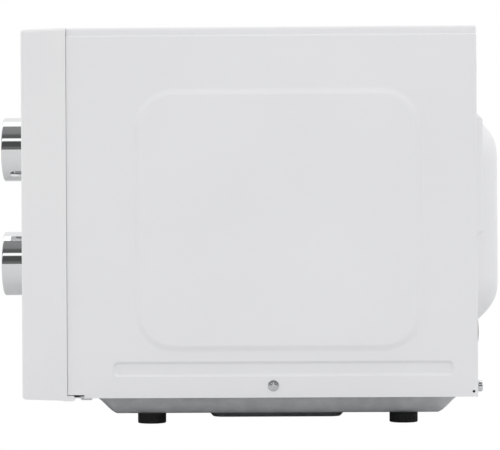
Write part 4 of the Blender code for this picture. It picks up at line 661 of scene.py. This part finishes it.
def makeRearPanel():
    # flat sheet inside the cabinet's flange, with the cavity's dome and the fan's vents
    s = rearSheet
    low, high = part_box("rear_panel")
    cavityLow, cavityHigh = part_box("cavity_back_wall")
    back = cabinetHigh.y - s["setIn"]
    sheet = addPlate("rearPanel", "Y", (low.x, back, low.z), (high.x, back, high.z), 0)
    emptied(sheet, lambda face: True)
    middleX = (cavityLow.x + cavityHigh.x) / 2
    middleZ = (cavityLow.z + cavityHigh.z) / 2 - s["domeDrop"]
    halfX = (cavityHigh.x - cavityLow.x) / 2 - s["domeMargin"][0]
    halfZ = (cavityHigh.z - cavityLow.z) / 2 - s["domeMargin"][1]
    dome = addPlate("dome", "Y", (middleX - halfX, back, middleZ - halfZ),
                    (middleX + halfX, back, middleZ + halfZ), s["domeCorner"], 16)
    press(dome, s["drawIn"], high.y - back, s["domeSteps"], domed)
    ventX = cabinetHigh.x - s["ventInset"] - s["ventSize"][0] / 2
    fanZ = cabinetHigh.z - s["fanBelowTop"]
    exhaustZ = cabinetHigh.z - s["exhaustBelowTop"]
    pressings = []
    for name, z in (("vent", fanZ), ("exhaust", exhaustZ)):
        length, height = s[name + "Size"]
        half = Vector((length / 2, 0, height / 2))
        place = Vector((ventX, back, z))
        rise = s[name + "Rise"] + s["setIn"]
        raised = addPlate(name, "Y", place - half, place + half, s["ventCorner"], 8)
        pressings.append(press(raised, rise, rise, 8, softWall))
    merged("rearPanel", [sheet, dome] + pressings)
    fillBetween(sheet, "Y")
    modify(sheet, "SOLIDIFY", thickness=sheetThickness, offset=-1, use_even_offset=True)
    sideways = (s["slotSize"][0] + s["slotSize"][1]) / 2
    lowest = fanZ - (s["ventRows"] - 1) / 2 * s["slotPitch"]
    places = [(ventX + side * sideways, back, lowest + row * s["slotPitch"])
              for row in range(s["ventRows"]) for side in (-1, 1)]
    places += [(ventX + side * s["exhaustApart"], back, exhaustZ) for side in (-1, 1)]
    carve(sheet, slotCutters(places, "Y", s["slotSize"]))
    glandX, glandZ = s["glandPlace"]
    carve(sheet, addRod("glandHole", 1, (cabinetHigh.x - glandX, glandZ), s["glandHole"],
                        back - cutReach / 2, back + cutReach / 2))
    smooth(sheet, 34)
    return finished(sheet, finishes["powder"], "chassis", "white_powder_coat", "rear_panel")


makeRearPanel()
print("rear panel done")

pan = {
    "depth": 0.0116, "side": 0.0105, "front": 0.0152, "rear": 0.0096, "slope": 0.0143,
    "corner": 0.016, "bossDepth": 0.0048, "bossWidth": 0.0938, "bossInset": 0.045,
    "bossLength": 0.265, "bossBehindTable": 0.0019, "bossSlope": 0.0046, "bossCorner": 0.012,
    "vents": 4, "ventPlace": 0.150, "ventStart": 0.060, "ventPitch": 0.012,
    "slotSize": (0.034, 0.0032), "tab": (0.0077, 0.0026), "tabBehindFront": 0.0120,
    "bossEdge": 0.0008,
}


def makeBase():
    # pressed pan under the oven, with a deeper boss under the turntable motor; the boss's faces
    # carry painted shade
    low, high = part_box("base_plate")
    bottom = cabinetLow.z
    rim = addPlate("basePan", "-Z", (low.x, low.y, bottom), (high.x, high.y, bottom), 0)
    emptied(rim, lambda face: True)
    front = cabinetLow.y + pan["front"]
    rear = cabinetHigh.y - pan["rear"]
    side = cabinetHigh.x - pan["side"]
    trough = addPlate("trough", "-Z", (-side, front, bottom), (side, rear, bottom),
                      pan["corner"], 10)
    press(trough, pan["slope"], pan["depth"], 10, softWall)
    panFloor = bottom - pan["depth"]
    emptied(trough, lambda face: len(face.verts) > 4)
    motorLow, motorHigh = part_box("turntable_motor")
    bossY = (motorLow.y + motorHigh.y) / 2 + pan["bossBehindTable"]
    bossX = cabinetHigh.x - pan["bossInset"] - pan["bossLength"] / 2
    half = Vector((pan["bossLength"] / 2, pan["bossWidth"] / 2, 0))
    place = Vector((bossX, bossY, panFloor))
    boss = addPlate("boss", "-Z", place - half, place + half, pan["bossCorner"], 8)
    press(boss, pan["bossSlope"], pan["bossDepth"], 8, softWall)
    merged("basePan", [rim, trough, boss])
    fillBetween(rim, "-Z")
    modify(rim, "SOLIDIFY", thickness=sheetThickness, offset=-1, use_even_offset=True)
    places = [(where * pan["ventPlace"], front + pan["ventStart"] + row * pan["ventPitch"],
               panFloor) for where in (-1, 1) for row in range(pan["vents"])]
    carve(rim, slotCutters(places, "Z", pan["slotSize"]))
    tabs = []
    length, drop = pan["tab"]
    y = cabinetLow.y + pan["tabBehindFront"]
    for where in (-1, 1):
        x = where * (abs(low.x) - sheetThickness)
        tab = addBox("tab", (x - sheetThickness / 2, y - length / 2, bottom - drop / 2),
                     (x + sheetThickness / 2, y + length / 2, bottom + drop / 2))
        roundEdges(tab, drop * roundEnd, 5,
                   lambda edge: runsAlong(0)(edge) and near(edge.verts[0].co.z, bottom - drop / 2))
        tabs.append(tab)
    merged("basePan", [rim] + tabs)
    smooth(rim, 34)
    finished(rim, [finishes["pan"], finishes["boss"]], "chassis", "zinc_plated_steel",
             "base_plate")
    # faces of the boss below the pan's floor take the darker copy of the zinc: painted shade
    for face in rim.data.polygons:
        if face.center.z < panFloor - pan["bossEdge"]:
            face.material_index = 1
    return rim


makeBase()
print("base done")

footSizes = {"edge": 0.0008, "recess": 0.0042, "recessDepth": 0.0022, "stem": 0.55, "flat": 0.97}


def makeFeet():
    # moulded rubber foot with a rounded tread and a screw pocket underneath
    names = ["foot_front_left", "foot_front_right", "foot_rear_left", "foot_rear_right"]
    low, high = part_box(names[0])
    radius = (high.x - low.x) / 2
    top = cabinetLow.z - pan["depth"]
    edge = footSizes["edge"]
    bend = [(radius - edge + edge * math.cos(turn), edge - edge * math.sin(turn))
            for turn in [math.pi / 2 * step / 4 for step in range(5)]]
    pocket, deep = footSizes["recess"], footSizes["recessDepth"]
    stem = radius * footSizes["stem"]
    profile = [(0, top + edge), (stem, top + edge), (stem, top),
               (radius * footSizes["flat"], top), (radius, top - edge)] + bend
    profile += [(pocket + edge / 2, 0), (pocket, edge / 2), (pocket, deep), (0, deep)]
    for number, name in enumerate(names):
        low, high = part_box(name)
        middle = (low + high) / 2
        if number == 0:
            first = middle
            foot = addTurned("footFrontLeft", 2, (middle.x, middle.y), profile)
            smooth(foot, 40)
            model = foot
        else:
            foot = model.copy()
            foot.data = model.data.copy()
            foot.parent = None
            scene.collection.objects.link(foot)
            foot.location = (middle.x - first.x, middle.y - first.y, 0)
            words = name.split("_")
            settle(foot, words[0] + "".join(word.title() for word in words[1:]))
        finished(foot, finishes["rubber"], "chassis", "black_rubber", name)


makeFeet()
print("feet done")

knobSizes = {"edge": 0.0010, "crown": 0.0014, "crownPower": 2.4, "slot": (0.0020, 0.0098),
             "slotDepth": 0.0011, "slotRound": 0.45, "slotBehind": 0.0005,
             "power": 137, "timer": 34}


def makeKnob(word):
    # turned cap with a crowned face; a slot in its skirt points at the scale
    low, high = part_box(word + "_knob")
    radius = (high.x - low.x) / 2
    middle = (low + high) / 2
    edge, crown = knobSizes["edge"], knobSizes["crown"]
    face = [(radius - edge) * step / 8 for step in range(9)]
    profile = [(r, low.y + crown * (r / radius) ** knobSizes["crownPower"]) for r in face]
    shoulder = profile[-1][1]
    profile += [(radius - edge + edge * math.sin(turn), shoulder + edge - edge * math.cos(turn))
                for turn in [math.pi / 2 * step / 5 for step in range(1, 6)]]
    profile += [(radius, high.y - edge / 2), (radius - edge / 2, high.y), (0, high.y)]
    knob = addTurned(word + "Knob", 1, (middle.x, middle.z), profile, 96)
    width, length = knobSizes["slot"]
    slot = addBox("slot", (-width / 2, -length, radius - knobSizes["slotDepth"]),
                  (width / 2, length, radius + width))
    roundEdges(slot, width * knobSizes["slotRound"], 5,
               lambda edge: runsAlong(2)(edge) and edge.verts[0].co.y < 0)
    slot.rotation_euler = (0, math.radians(knobSizes[word]), 0)
    slot.location = (middle.x, high.y + knobSizes["slotBehind"], middle.z)
    carve(knob, settle(slot, "slot"))
    smooth(knob, 30)
    return finished(knob, finishes["chrome"], word + "_dial", "chrome_plating", word + "_knob")


for word in ("power", "timer"):
    makeKnob(word)
print("knobs done")

panelLow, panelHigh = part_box("control_panel")
panelSizes = {
    "seam": 0.00018, "lipWidth": 0.0024, "draft": 0.001, "front": 0.0022, "corner": 0.0026,
    "wall": 0.0025, "shaftHole": 0.0045, "buttonGap": 0.0005, "buttonCorner": 0.0028,
    "lipTop": 0.0203, "lipRound": 0.0009, "clearBelow": 0.0003, "edgeRound": 0.00025,
}


def makeControlPanel():
    # moulded shell with softened corners, dial holes and the button's opening
    sizes = panelSizes
    rear = cabinetLow.y - sizes["seam"]
    bottom = panelLow.z + sizes["clearBelow"]
    panel = addBox("controlPanel", (panelLow.x, panelLow.y, bottom),
                   (panelHigh.x, rear, panelHigh.z))
    choose(panel, "FACE", onPlane(1, panelLow.y))
    height = panelHigh.z - bottom
    bpy.ops.transform.resize(value=(1, 1, 1 - 2 * sizes["draft"] / height))
    done()

    def upperEdge(edge):
        # the one that runs back along the free side
        start, end = (vert.co for vert in edge.verts)
        outside = near(start.x, panelHigh.x) and near(end.x, panelHigh.x)
        return outside and not near(start.y, end.y) and start.z > bottom + height / 2

    roundEdges(panel, sizes["corner"], 8, upperEdge)
    roundEdges(panel, sizes["front"], 6, onPlane(1, panelLow.y))
    wall = sizes["wall"]
    hollow = addBox("hollow", (panelLow.x + wall, panelLow.y + wall, bottom + wall),
                    (panelHigh.x - wall, rear + wall, panelHigh.z - wall))
    roundEdges(hollow, wall / 2, 3, lambda edge: True)
    carve(panel, hollow)
    for word in ("power", "timer"):
        low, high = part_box(word + "_knob")
        middle = (low + high) / 2
        carve(panel, addRod("shaftHole", 1, (middle.x, middle.z), sizes["shaftHole"],
                            panelLow.y - wall, panelLow.y + 2 * wall))
    low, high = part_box("door_button")
    gap = sizes["buttonGap"]
    opening = addBox("opening", (low.x - gap, panelLow.y - wall, low.z - gap),
                     (high.x + gap, panelLow.y + 2 * wall, high.z + gap))
    roundEdges(opening, sizes["buttonCorner"], 5, runsAlong(1))
    carve(panel, opening)
    lip = addBox("lip", (panelHigh.x - sizes["lipWidth"], rear - wall, panelLow.z),
                 (panelHigh.x, panelHigh.y, sizes["lipTop"]))
    roundEdges(lip, sizes["lipRound"], 4,
               lambda edge: runsAlong(0)(edge) and edge.verts[0].co.y > rear)
    carve(panel, lip, operation="UNION")
    modify(panel, "BEVEL", width=sizes["edgeRound"], segments=2, limit_method="ANGLE",
           angle_limit=math.radians(50))
    smooth(panel, 34)
    return finished(panel, finishes["abs"], "chassis", "white_abs", "control_panel")


makeControlPanel()
print("control panel done")

doorLow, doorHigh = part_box("door_frame")
doorSizes = {
    "front": 0.0026, "edgeRound": 0.0002, "hingeRound": 0.0067, "wall": 0.0025,
    "frontWall": 0.0058, "glass": 0.003, "overlap": 0.030, "glassGap": 0.0004,
    "windowSide": 0.0545, "windowBottom": 0.0577, "windowTop": 0.0477, "windowCorner": 0.006,
    "hingeInset": 0.007, "legClear": 0.0066, "legHeight": 0.0026, "clear": 0.0003,
    "columnGap": 0.0005, "pinBore": 0.0029, "border": 0.004,
}


def windowEdges(grow):
    # left, right, bottom and top of the door's window, made larger by grow
    s = doorSizes
    return (doorLow.x + s["windowSide"] - grow, doorHigh.x - s["windowSide"] + grow,
            doorLow.z + s["windowBottom"] - grow, doorHigh.z - s["windowTop"] + grow)


def windowBlock(name, grow, start, end, corner):
    left, right, bottom, top = windowEdges(grow)
    block = addBox(name, (left, start, bottom), (right, end, top))
    return roundEdges(block, corner, 8, runsAlong(1))


def makeDoorFrame():
    # moulded frame: rounded front, hinge side rounded to swing, seat for the glass
    s = doorSizes
    frame = addBox("doorFrame", doorLow, doorHigh)
    roundEdges(frame, s["hingeRound"], 10, lambda edge: runsAlong(2)(edge)
               and near(edge.verts[0].co.x, doorLow.x) and near(edge.verts[0].co.y, doorHigh.y))
    roundEdges(frame, s["front"], 6, onPlane(1, doorLow.y))
    wall = s["wall"]
    column = doorLow.x + 2 * s["hingeInset"] - s["columnGap"]
    back = addBox("back", (column, doorLow.y + s["frontWall"], doorLow.z + wall),
                  (doorHigh.x - wall, doorHigh.y + cutReach, doorHigh.z - wall))
    pocket = addBox("pocket", (doorLow.x + wall, doorLow.y + s["frontWall"], doorLow.z + wall),
                    (column + s["columnGap"], doorHigh.y - 2 * s["hingeInset"] - s["columnGap"],
                     doorHigh.z - wall))
    window = windowBlock("window", 0, doorLow.y - cutReach, doorHigh.y, s["windowCorner"])
    seat = windowBlock("seat", s["overlap"], doorLow.y - cutReach,
                       doorLow.y + s["glass"] + s["clear"], s["windowCorner"])
    carve(frame, back, pocket, window, seat)
    pinX, pinY = doorLow.x + s["hingeInset"], doorHigh.y - s["hingeInset"]
    for word in ("lower", "upper"):
        low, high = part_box("hinge_" + word)
        start = (low.z if word == "lower" else high.z - s["legHeight"] + s["clear"]) - s["clear"]
        carve(frame, addBox("legSlot", (doorLow.x - cutReach, pinY - s["legClear"], start),
                            (pinX + s["legClear"], doorHigh.y + cutReach,
                             start + s["legHeight"])))
        carve(frame, addRod("pinBore", 2, (pinX, pinY), s["pinBore"], low.z, high.z, 24))
    modify(frame, "BEVEL", width=s["edgeRound"], segments=2, limit_method="ANGLE",
           angle_limit=math.radians(50))
    smooth(frame, 34)
    return finished(frame, finishes["abs"], "door", "white_abs", "door_frame")


def makeDoorGlass():
    # flush glass: a black printed border round a clear, tinted middle
    s = doorSizes
    grow, gap = s["overlap"] - s["glassGap"], s["border"]
    sheets = []
    for name, size, corner in (("doorGlass", grow, s["windowCorner"]),
                               ("edge", gap, s["windowCorner"])):
        left, right, bottom, top = windowEdges(size)
        rim = addPlate(name, "-Y", (left, doorLow.y, bottom), (right, doorLow.y, top),
                       corner, 8)
        emptied(rim, lambda face: True)
        sheets.append(rim)
    left, right, bottom, top = windowEdges(gap)
    pane = addPlate("clearMiddle", "-Y", (left, doorLow.y, bottom), (right, doorLow.y, top),
                    s["windowCorner"], 8)
    border = merged("doorGlass", sheets)
    fillBetween(border, "-Y")
    for piece in (border, pane):
        modify(piece, "SOLIDIFY", thickness=s["glass"], offset=-1)
        facing = sum(v.co.y for v in piece.data.vertices) / len(piece.data.vertices)
        if facing < doorLow.y:
            piece.data.transform(Matrix.Translation((0, s["glass"], 0)))
    smooth(border, 34, False)
    smooth(pane, 34, False)
    finished(border, finishes["blackGlass"], "door", "tinted_glass", "door_glass")
    return finished(pane, finishes["tinted"], "door", "tinted_glass")


screen = {"pitch": 0.0030, "hole": 0.00105, "holeCorner": 0.58, "margin": 0.003, "reach": 0.001}


def makeScreen():
    # pressed tray of the door with a perforated middle, its holes coarser than real ones
    low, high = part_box("door_steel_panel")
    s = screen
    left, right, bottom, top = windowEdges(s["margin"])
    columns = int((right - left) / s["pitch"])
    rows = int((top - bottom) / s["pitch"])
    wide, tall = columns * s["pitch"], rows * s["pitch"]
    left, bottom = (left + right - wide) / 2, (bottom + top - tall) / 2
    back = high.y - sheetThickness
    pitch, radius = s["pitch"], s["hole"]
    cell = addPlate("cell", "-Y", (left, back, bottom), (left + pitch, back, bottom + pitch), 0)
    emptied(cell, lambda face: True)
    middle, reach = Vector((left + pitch / 2, back, bottom + pitch / 2)), Vector((radius, 0, radius))
    hole = addPlate("hole", "-Y", middle - reach, middle + reach, radius * s["holeCorner"], 1)
    emptied(hole, lambda face: True)
    merged("doorScreen", [cell, hole])
    fillBetween(cell, "-Y")
    for count, run in ((columns, (pitch, 0, 0)), (rows, (0, 0, pitch))):
        modify(cell, "ARRAY", count=count, use_relative_offset=False,
               use_constant_offset=True, constant_offset_displace=run,
               use_merge_vertices=True, merge_threshold=mergeWithin)
    border = addPlate("border", "-Y", (low.x, back, low.z), (high.x, back, high.z), 0)
    emptied(border, lambda face: True)
    inner = addPlate("inner", "-Y", (left, back, bottom), (left + wide, back, bottom + tall), 0)
    emptied(inner, lambda face: True)
    merged("border", [border, inner])
    fillBetween(border, "-Y")

    def outerEdge(edge):
        middle = (edge.verts[0].co + edge.verts[1].co) / 2
        across = abs(middle.x - left - wide / 2) < wide / 2 + s["reach"]
        along = abs(middle.z - bottom - tall / 2) < tall / 2 + s["reach"]
        return edge.is_boundary and not (across and along)

    choose(border, "EDGE", outerEdge)
    bpy.ops.mesh.extrude_edges_move(TRANSFORM_OT_translate={"value": (0, low.y - back, 0)})
    done()
    merged("doorScreen", [cell, border])
    smooth(cell, 34, False)
    return finished(cell, finishes["screen"], "door", "cavity_paint", "door_steel_panel")


button = {"skirt": 0.0083, "corner": 0.0023, "edge": 0.0008, "wall": 0.002,
          "stemInset": 0.0035, "stemDrop": 0.001, "stem": (0.003, 0.0015)}


def makeDoorButton():
    # push button with a soft crown, rounded corners and a stem to the lever
    low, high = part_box("door_button")
    rear, wall = panelLow.y + button["skirt"], button["wall"]
    cap = addBox("doorButton", low, (high.x, rear, high.z))
    roundEdges(cap, button["corner"], 6, runsAlong(1))
    roundEdges(cap, button["edge"], 4, onPlane(1, low.y))
    hollow = addBox("hollow", (low.x + wall, low.y + wall, low.z + wall),
                    (high.x - wall, rear + wall, high.z - wall))
    stemX, stemZ = low.x + button["stemInset"], (low.z + high.z) / 2 - button["stemDrop"]
    halfX, halfZ = button["stem"]
    stem = addBox("stem", (stemX - halfX, panelLow.y, stemZ - halfZ),
                  (stemX + halfX, high.y, stemZ + halfZ))
    carve(cap, hollow)
    carve(cap, stem, operation="UNION")
    smooth(cap, 34)
    return finished(cap, finishes["abs"], "push_button", "white_abs", "door_button")


makeDoorFrame()
makeDoorGlass()
makeScreen()
makeDoorButton()
print("door done")

scales = {
    "ink": 0.00006, "proud": 0.00001, "shortTick": 0.00182, "longTick": 0.0036,
    "thick": 0.00055, "thin": 0.00033, "tickEnd": 0.45, "grow": 0.35, "gap": 0.0032,
    "textGap": 0.0098, "textSize": 0.0048, "minutes": [0, 1, 2, 3, 4, 5, 10, 15, 20, 25, 30, 35],
    "timerSweep": (32, 328), "parts": 4, "levels": 5, "powerSweep": (-142, 142),
}


def printed(name, words, size, place):
    # thin raised ink on the panel's face
    letGo()
    bpy.ops.object.text_add(location=place, rotation=(math.pi / 2, 0, 0))
    text = bpy.context.object
    text.data.body = words
    text.data.size = size
    text.data.align_x = "CENTER"
    text.data.align_y = "CENTER"
    text.data.extrude = scales["ink"] / 2
    bpy.ops.object.convert(target="MESH")
    return settle(bpy.context.object, name)


def addTick(middle, radius, angle, length, thick, face):
    # angle is clockwise from the top, as seen from the front
    tick = addPlate("tick", "-Y", (-thick / 2, 0, radius), (thick / 2, 0, radius + length),
                    thick * scales["tickEnd"], 3)
    modify(tick, "SOLIDIFY", thickness=scales["ink"], offset=0)
    tick.rotation_euler = (0, math.radians(angle), 0)
    tick.location = (middle.x, face, middle.z)
    return settle(tick, "tick")


def addMark(middle, radius, angle, thick, word):
    # a long tick with its number outside it
    face = panelLow.y - scales["proud"]
    tick = addTick(middle, radius + scales["gap"], angle, scales["longTick"], thick, face)
    turn = math.radians(angle)
    reach = radius + scales["textGap"]
    place = (middle.x + reach * math.sin(turn), face, middle.z + reach * math.cos(turn))
    return [tick, printed("number", word, scales["textSize"], place)]


def makeScales():
    # printed rings of marks: minutes round the timer, growing ticks round the power dial
    face = panelLow.y - scales["proud"]
    marks = []
    low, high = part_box("timer_knob")
    middle = (low + high) / 2
    radius = (high.x - low.x) / 2
    start, end = scales["timerSweep"]
    step = (end - start) / (len(scales["minutes"]) - 1)
    for number, minute in enumerate(scales["minutes"]):
        angle = start + step * number
        marks += addMark(middle, radius, angle, scales["thick"], str(minute))
        if minute == scales["minutes"][-1]:
            continue
        for part in range(1, scales["parts"]):
            marks.append(addTick(middle, radius + scales["gap"],
                                 angle + step * part / scales["parts"],
                                 scales["shortTick"], scales["thin"], face))
    low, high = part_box("power_knob")
    middle = (low + high) / 2
    start, end = scales["powerSweep"]
    for level in range(scales["levels"]):
        angle = start + (end - start) * level / (scales["levels"] - 1)
        thick = scales["thick"] * (1 + level * scales["grow"])
        marks += addMark(middle, radius, angle, thick, str(level + 1))
    ink = merged("dialMarks", marks)
    return finished(ink, finishes["ink"], "chassis", "black_polypropylene")


makeScales()
print("dial marks done")

screwSizes = {
    "shank": 0.0019, "slot": 0.0009, "span": 0.5, "side": {"head": 0.0013, "deep": 0.0009},
    "rear": {"head": 0.0027, "deep": 0.0012},
    # the side head's cone: shares of its radius and of its height
    "cone": [(0, 0), (0.45, 0), (0.58, 0.1), (0.72, 0.3), (0.85, 0.6), (1, 0.95)],
    "shoulder": 0.45, "clear": 0.001,
}


def makeScrew(word, side):
    # sheet-metal screws with a cross recess: low coned heads beside, pan heads behind
    node = f"{word}_screw_{side}"
    low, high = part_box(node)
    axis = 0 if word == "side" else 1
    middle = (low + high) / 2
    radius = (high.z - low.z) / 2
    outer, inner = (low.x, high.x) if node == "side_screw_left" else (high[axis], low[axis])
    way = 1 if outer > inner else -1
    across = (middle.y, middle.z) if axis == 0 else (middle.x, middle.z)
    head, deep = screwSizes[word]["head"], screwSizes[word]["deep"]
    seat = outer - way * head
    if word == "side":
        profile = [(radius * out, outer - way * head * down) for out, down in screwSizes["cone"]]
    else:
        bend = head * screwSizes["shoulder"]
        profile = [(0, outer)] + [
            (radius - bend + bend * math.sin(turn), outer - bend * (1 - math.cos(turn)))
            for turn in [math.pi / 2 * step / 6 for step in range(7)]]
    shank = screwSizes["shank"]
    profile += [(radius, seat), (shank, seat), (shank, inner), (0, inner)]
    screw = addTurned(word + "Screw" + side.title(), axis, across, profile, 40)
    half, span = screwSizes["slot"] / 2, radius * screwSizes["span"]
    for wide, tall in ((half, span), (span, half)):
        ends = sorted((outer - way * deep, outer + way * screwSizes["clear"]))
        corners = []
        for end, sign in zip(ends, (-1, 1)):
            corner = [across[0] + sign * wide, across[1] + sign * tall]
            corner.insert(axis, end)
            corners.append(corner)
        carve(screw, addBox("slot", *corners))
    smooth(screw, 34)
    return finished(screw, finishes["screw"], "chassis", "zinc_plated_steel", node)


for word in ("side", "rear"):
    for side in ("left", "right"):
        makeScrew(word, side)
print("screws done")

plate = {"thick": 0.004, "floorRings": (0.4, 0.8), "wallStart": 0.86, "wallEnd": 0.96,
         "foot": 0.885, "footRing": 0.5, "steps": 8}


def makeTurntable():
    # pressed glass plate with a curved wall and a rounded rim
    low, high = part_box("glass_turntable")
    middle = (low + high) / 2
    radius = (high.x - low.x) / 2
    thick, steps = plate["thick"], plate["steps"]
    floorZ, half = low.z + thick, thick / 2
    rim = high.z - half
    shares = [step / steps for step in range(steps + 1)]
    wall = [(radius * (plate["wallStart"] + (plate["wallEnd"] - plate["wallStart"]) * share),
             floorZ + (rim - floorZ) * sCurve(share)) for share in shares[:-1]]
    lip = [(radius - half + half * math.cos(turn), rim + half * math.sin(turn))
           for turn in [math.pi * (1 - share) for share in shares]]
    under = [(radius * (plate["foot"] + (1 - plate["foot"]) * share),
              low.z + (rim - low.z) * sCurve(share)) for share in reversed(shares[:-1])]
    rings = [(0, floorZ)] + [(radius * ring, floorZ) for ring in plate["floorRings"]]
    profile = rings + wall + lip + under + [(radius * plate["footRing"], low.z), (0, low.z)]
    glass = addTurned("glassTurntable", 2, (middle.x, middle.y), profile, 120)
    smooth(glass, 40)
    return finished(glass, finishes["tempered"], "table_plate", "clear_glass",
                    "glass_turntable")


makeTurntable()
print("turntable done")

# camera: level with the oven's middle, at its control side
view = {"distance": 1.4514, "height": 0.130, "along": -0.00575, "lens": 162.1,
        "yaw": math.radians(0.9), "roll": math.radians(-0.33)}
bpy.ops.object.camera_add()
camera = bpy.context.object
camera.name = "camera"
camera.data.lens = view["lens"]
camera.data.sensor_width = 36
middle = Vector((sideFlat, view["along"], view["height"]))
back = Vector((math.cos(view["yaw"]), math.sin(view["yaw"]), 0)) * view["distance"]
camera.matrix_world = (Matrix.Translation(middle + back)
                       @ Matrix.Rotation(math.pi / 2 + view["yaw"], 4, "Z")
                       @ Matrix.Rotation(math.pi / 2, 4, "X")
                       @ Matrix.Rotation(view["roll"], 4, "Z"))
scene.camera = camera
scene.view_settings.view_transform = "Standard"

# studio: a white sweep for the eye, soft light by height, and bands that polished metal picks up
studio = {
    "side": 0.815, "overhead": 0.34, "ends": 0.17,
    # brightness of what a mirror sees, by angle over the +X side (0 level, 0.25 overhead)
    "bands": [(0.0, 0.17), (0.016, 0.17), (0.030, 0.085), (0.078, 0.085), (0.083, 1.25),
              (0.106, 1.25), (0.111, 0.10), (0.145, 0.13), (0.165, 0.25), (0.240, 0.29),
              (0.254, 0.30), (0.259, 1.6), (0.326, 1.6), (0.332, 1.0), (0.5, 0.9),
              (0.75, 0.75), (0.938, 0.77), (0.955, 0.60), (0.974, 0.38), (0.990, 0.18)],
}


def makeStudio():
    world = bpy.data.worlds.new("studio")
    scene.world = world
    world.use_nodes = True
    tree = world.node_tree
    tree.nodes.clear()
    place = addNode(tree, "ShaderNodeTexCoord").outputs["Generated"]
    parts = addNode(tree, "ShaderNodeSeparateXYZ", {0: place}).outputs
    ends = addNode(tree, "ShaderNodeMath", {0: parts["Y"]}, operation="ABSOLUTE").outputs[0]
    rise = addNode(tree, "ShaderNodeMath", {0: parts["Z"], 1: studio["overhead"],
                                           2: studio["side"]},
                   operation="MULTIPLY_ADD").outputs[0]
    soft = addNode(tree, "ShaderNodeMath", {0: ends, 1: studio["ends"], 2: rise},
                   operation="MULTIPLY_ADD").outputs[0]
    angle = addNode(tree, "ShaderNodeMath", {0: parts["Z"], 1: parts["X"]},
                    operation="ARCTAN2").outputs[0]
    turn = addNode(tree, "ShaderNodeMath", {0: angle, 1: 1 / math.tau}, operation="MULTIPLY")
    whole = addNode(tree, "ShaderNodeMath", {0: turn.outputs[0], 1: 1.0}, operation="ADD")
    share = addNode(tree, "ShaderNodeMath", {0: whole.outputs[0], 1: 1.0}, operation="MODULO")
    ramp = addNode(tree, "ShaderNodeValToRGB", {0: share.outputs[0]})
    stops = ramp.color_ramp.elements
    for number, (position, value) in enumerate(studio["bands"]):
        if number < 2:
            stop = stops[number]
            stop.position = position
        else:
            stop = stops.new(position)
        stop.color = (value, value, value, 1)
    path = addNode(tree, "ShaderNodeLightPath").outputs
    seen = addNode(tree, "ShaderNodeMix", {0: path["Is Glossy Ray"], 2: soft,
                                          3: ramp.outputs[0]}).outputs[0]
    shown = addNode(tree, "ShaderNodeMix", {0: path["Is Camera Ray"], 2: seen, 3: 1.0}).outputs[0]
    light = addNode(tree, "ShaderNodeBackground", {"Color": shown, "Strength": 1.0})
    addNode(tree, "ShaderNodeOutputWorld", {0: light.outputs[0]})


makeStudio()
bpy.ops.mesh.primitive_plane_add(size=12)
floor = settle(bpy.context.object, "studioFloor")
sweep, sweepTree, sweepShader = newFinish("paleSweep", Roughness=0.9, Base_Color=linear("DCDCDC"))
glow = addNode(sweepTree, "ShaderNodeEmission", {"Strength": 1.0})
onlySeen = addNode(sweepTree, "ShaderNodeLightPath").outputs["Is Camera Ray"]
blendIn = addNode(sweepTree, "ShaderNodeMixShader", {0: onlySeen, 1: sweepShader.outputs[0],
                                                    2: glow.outputs[0]})
sweepTree.links.new(blendIn.outputs[0], sweepTree.nodes["Material Output"].inputs[0])
floor.data.materials.append(sweep)
print("camera, studio and floor done")
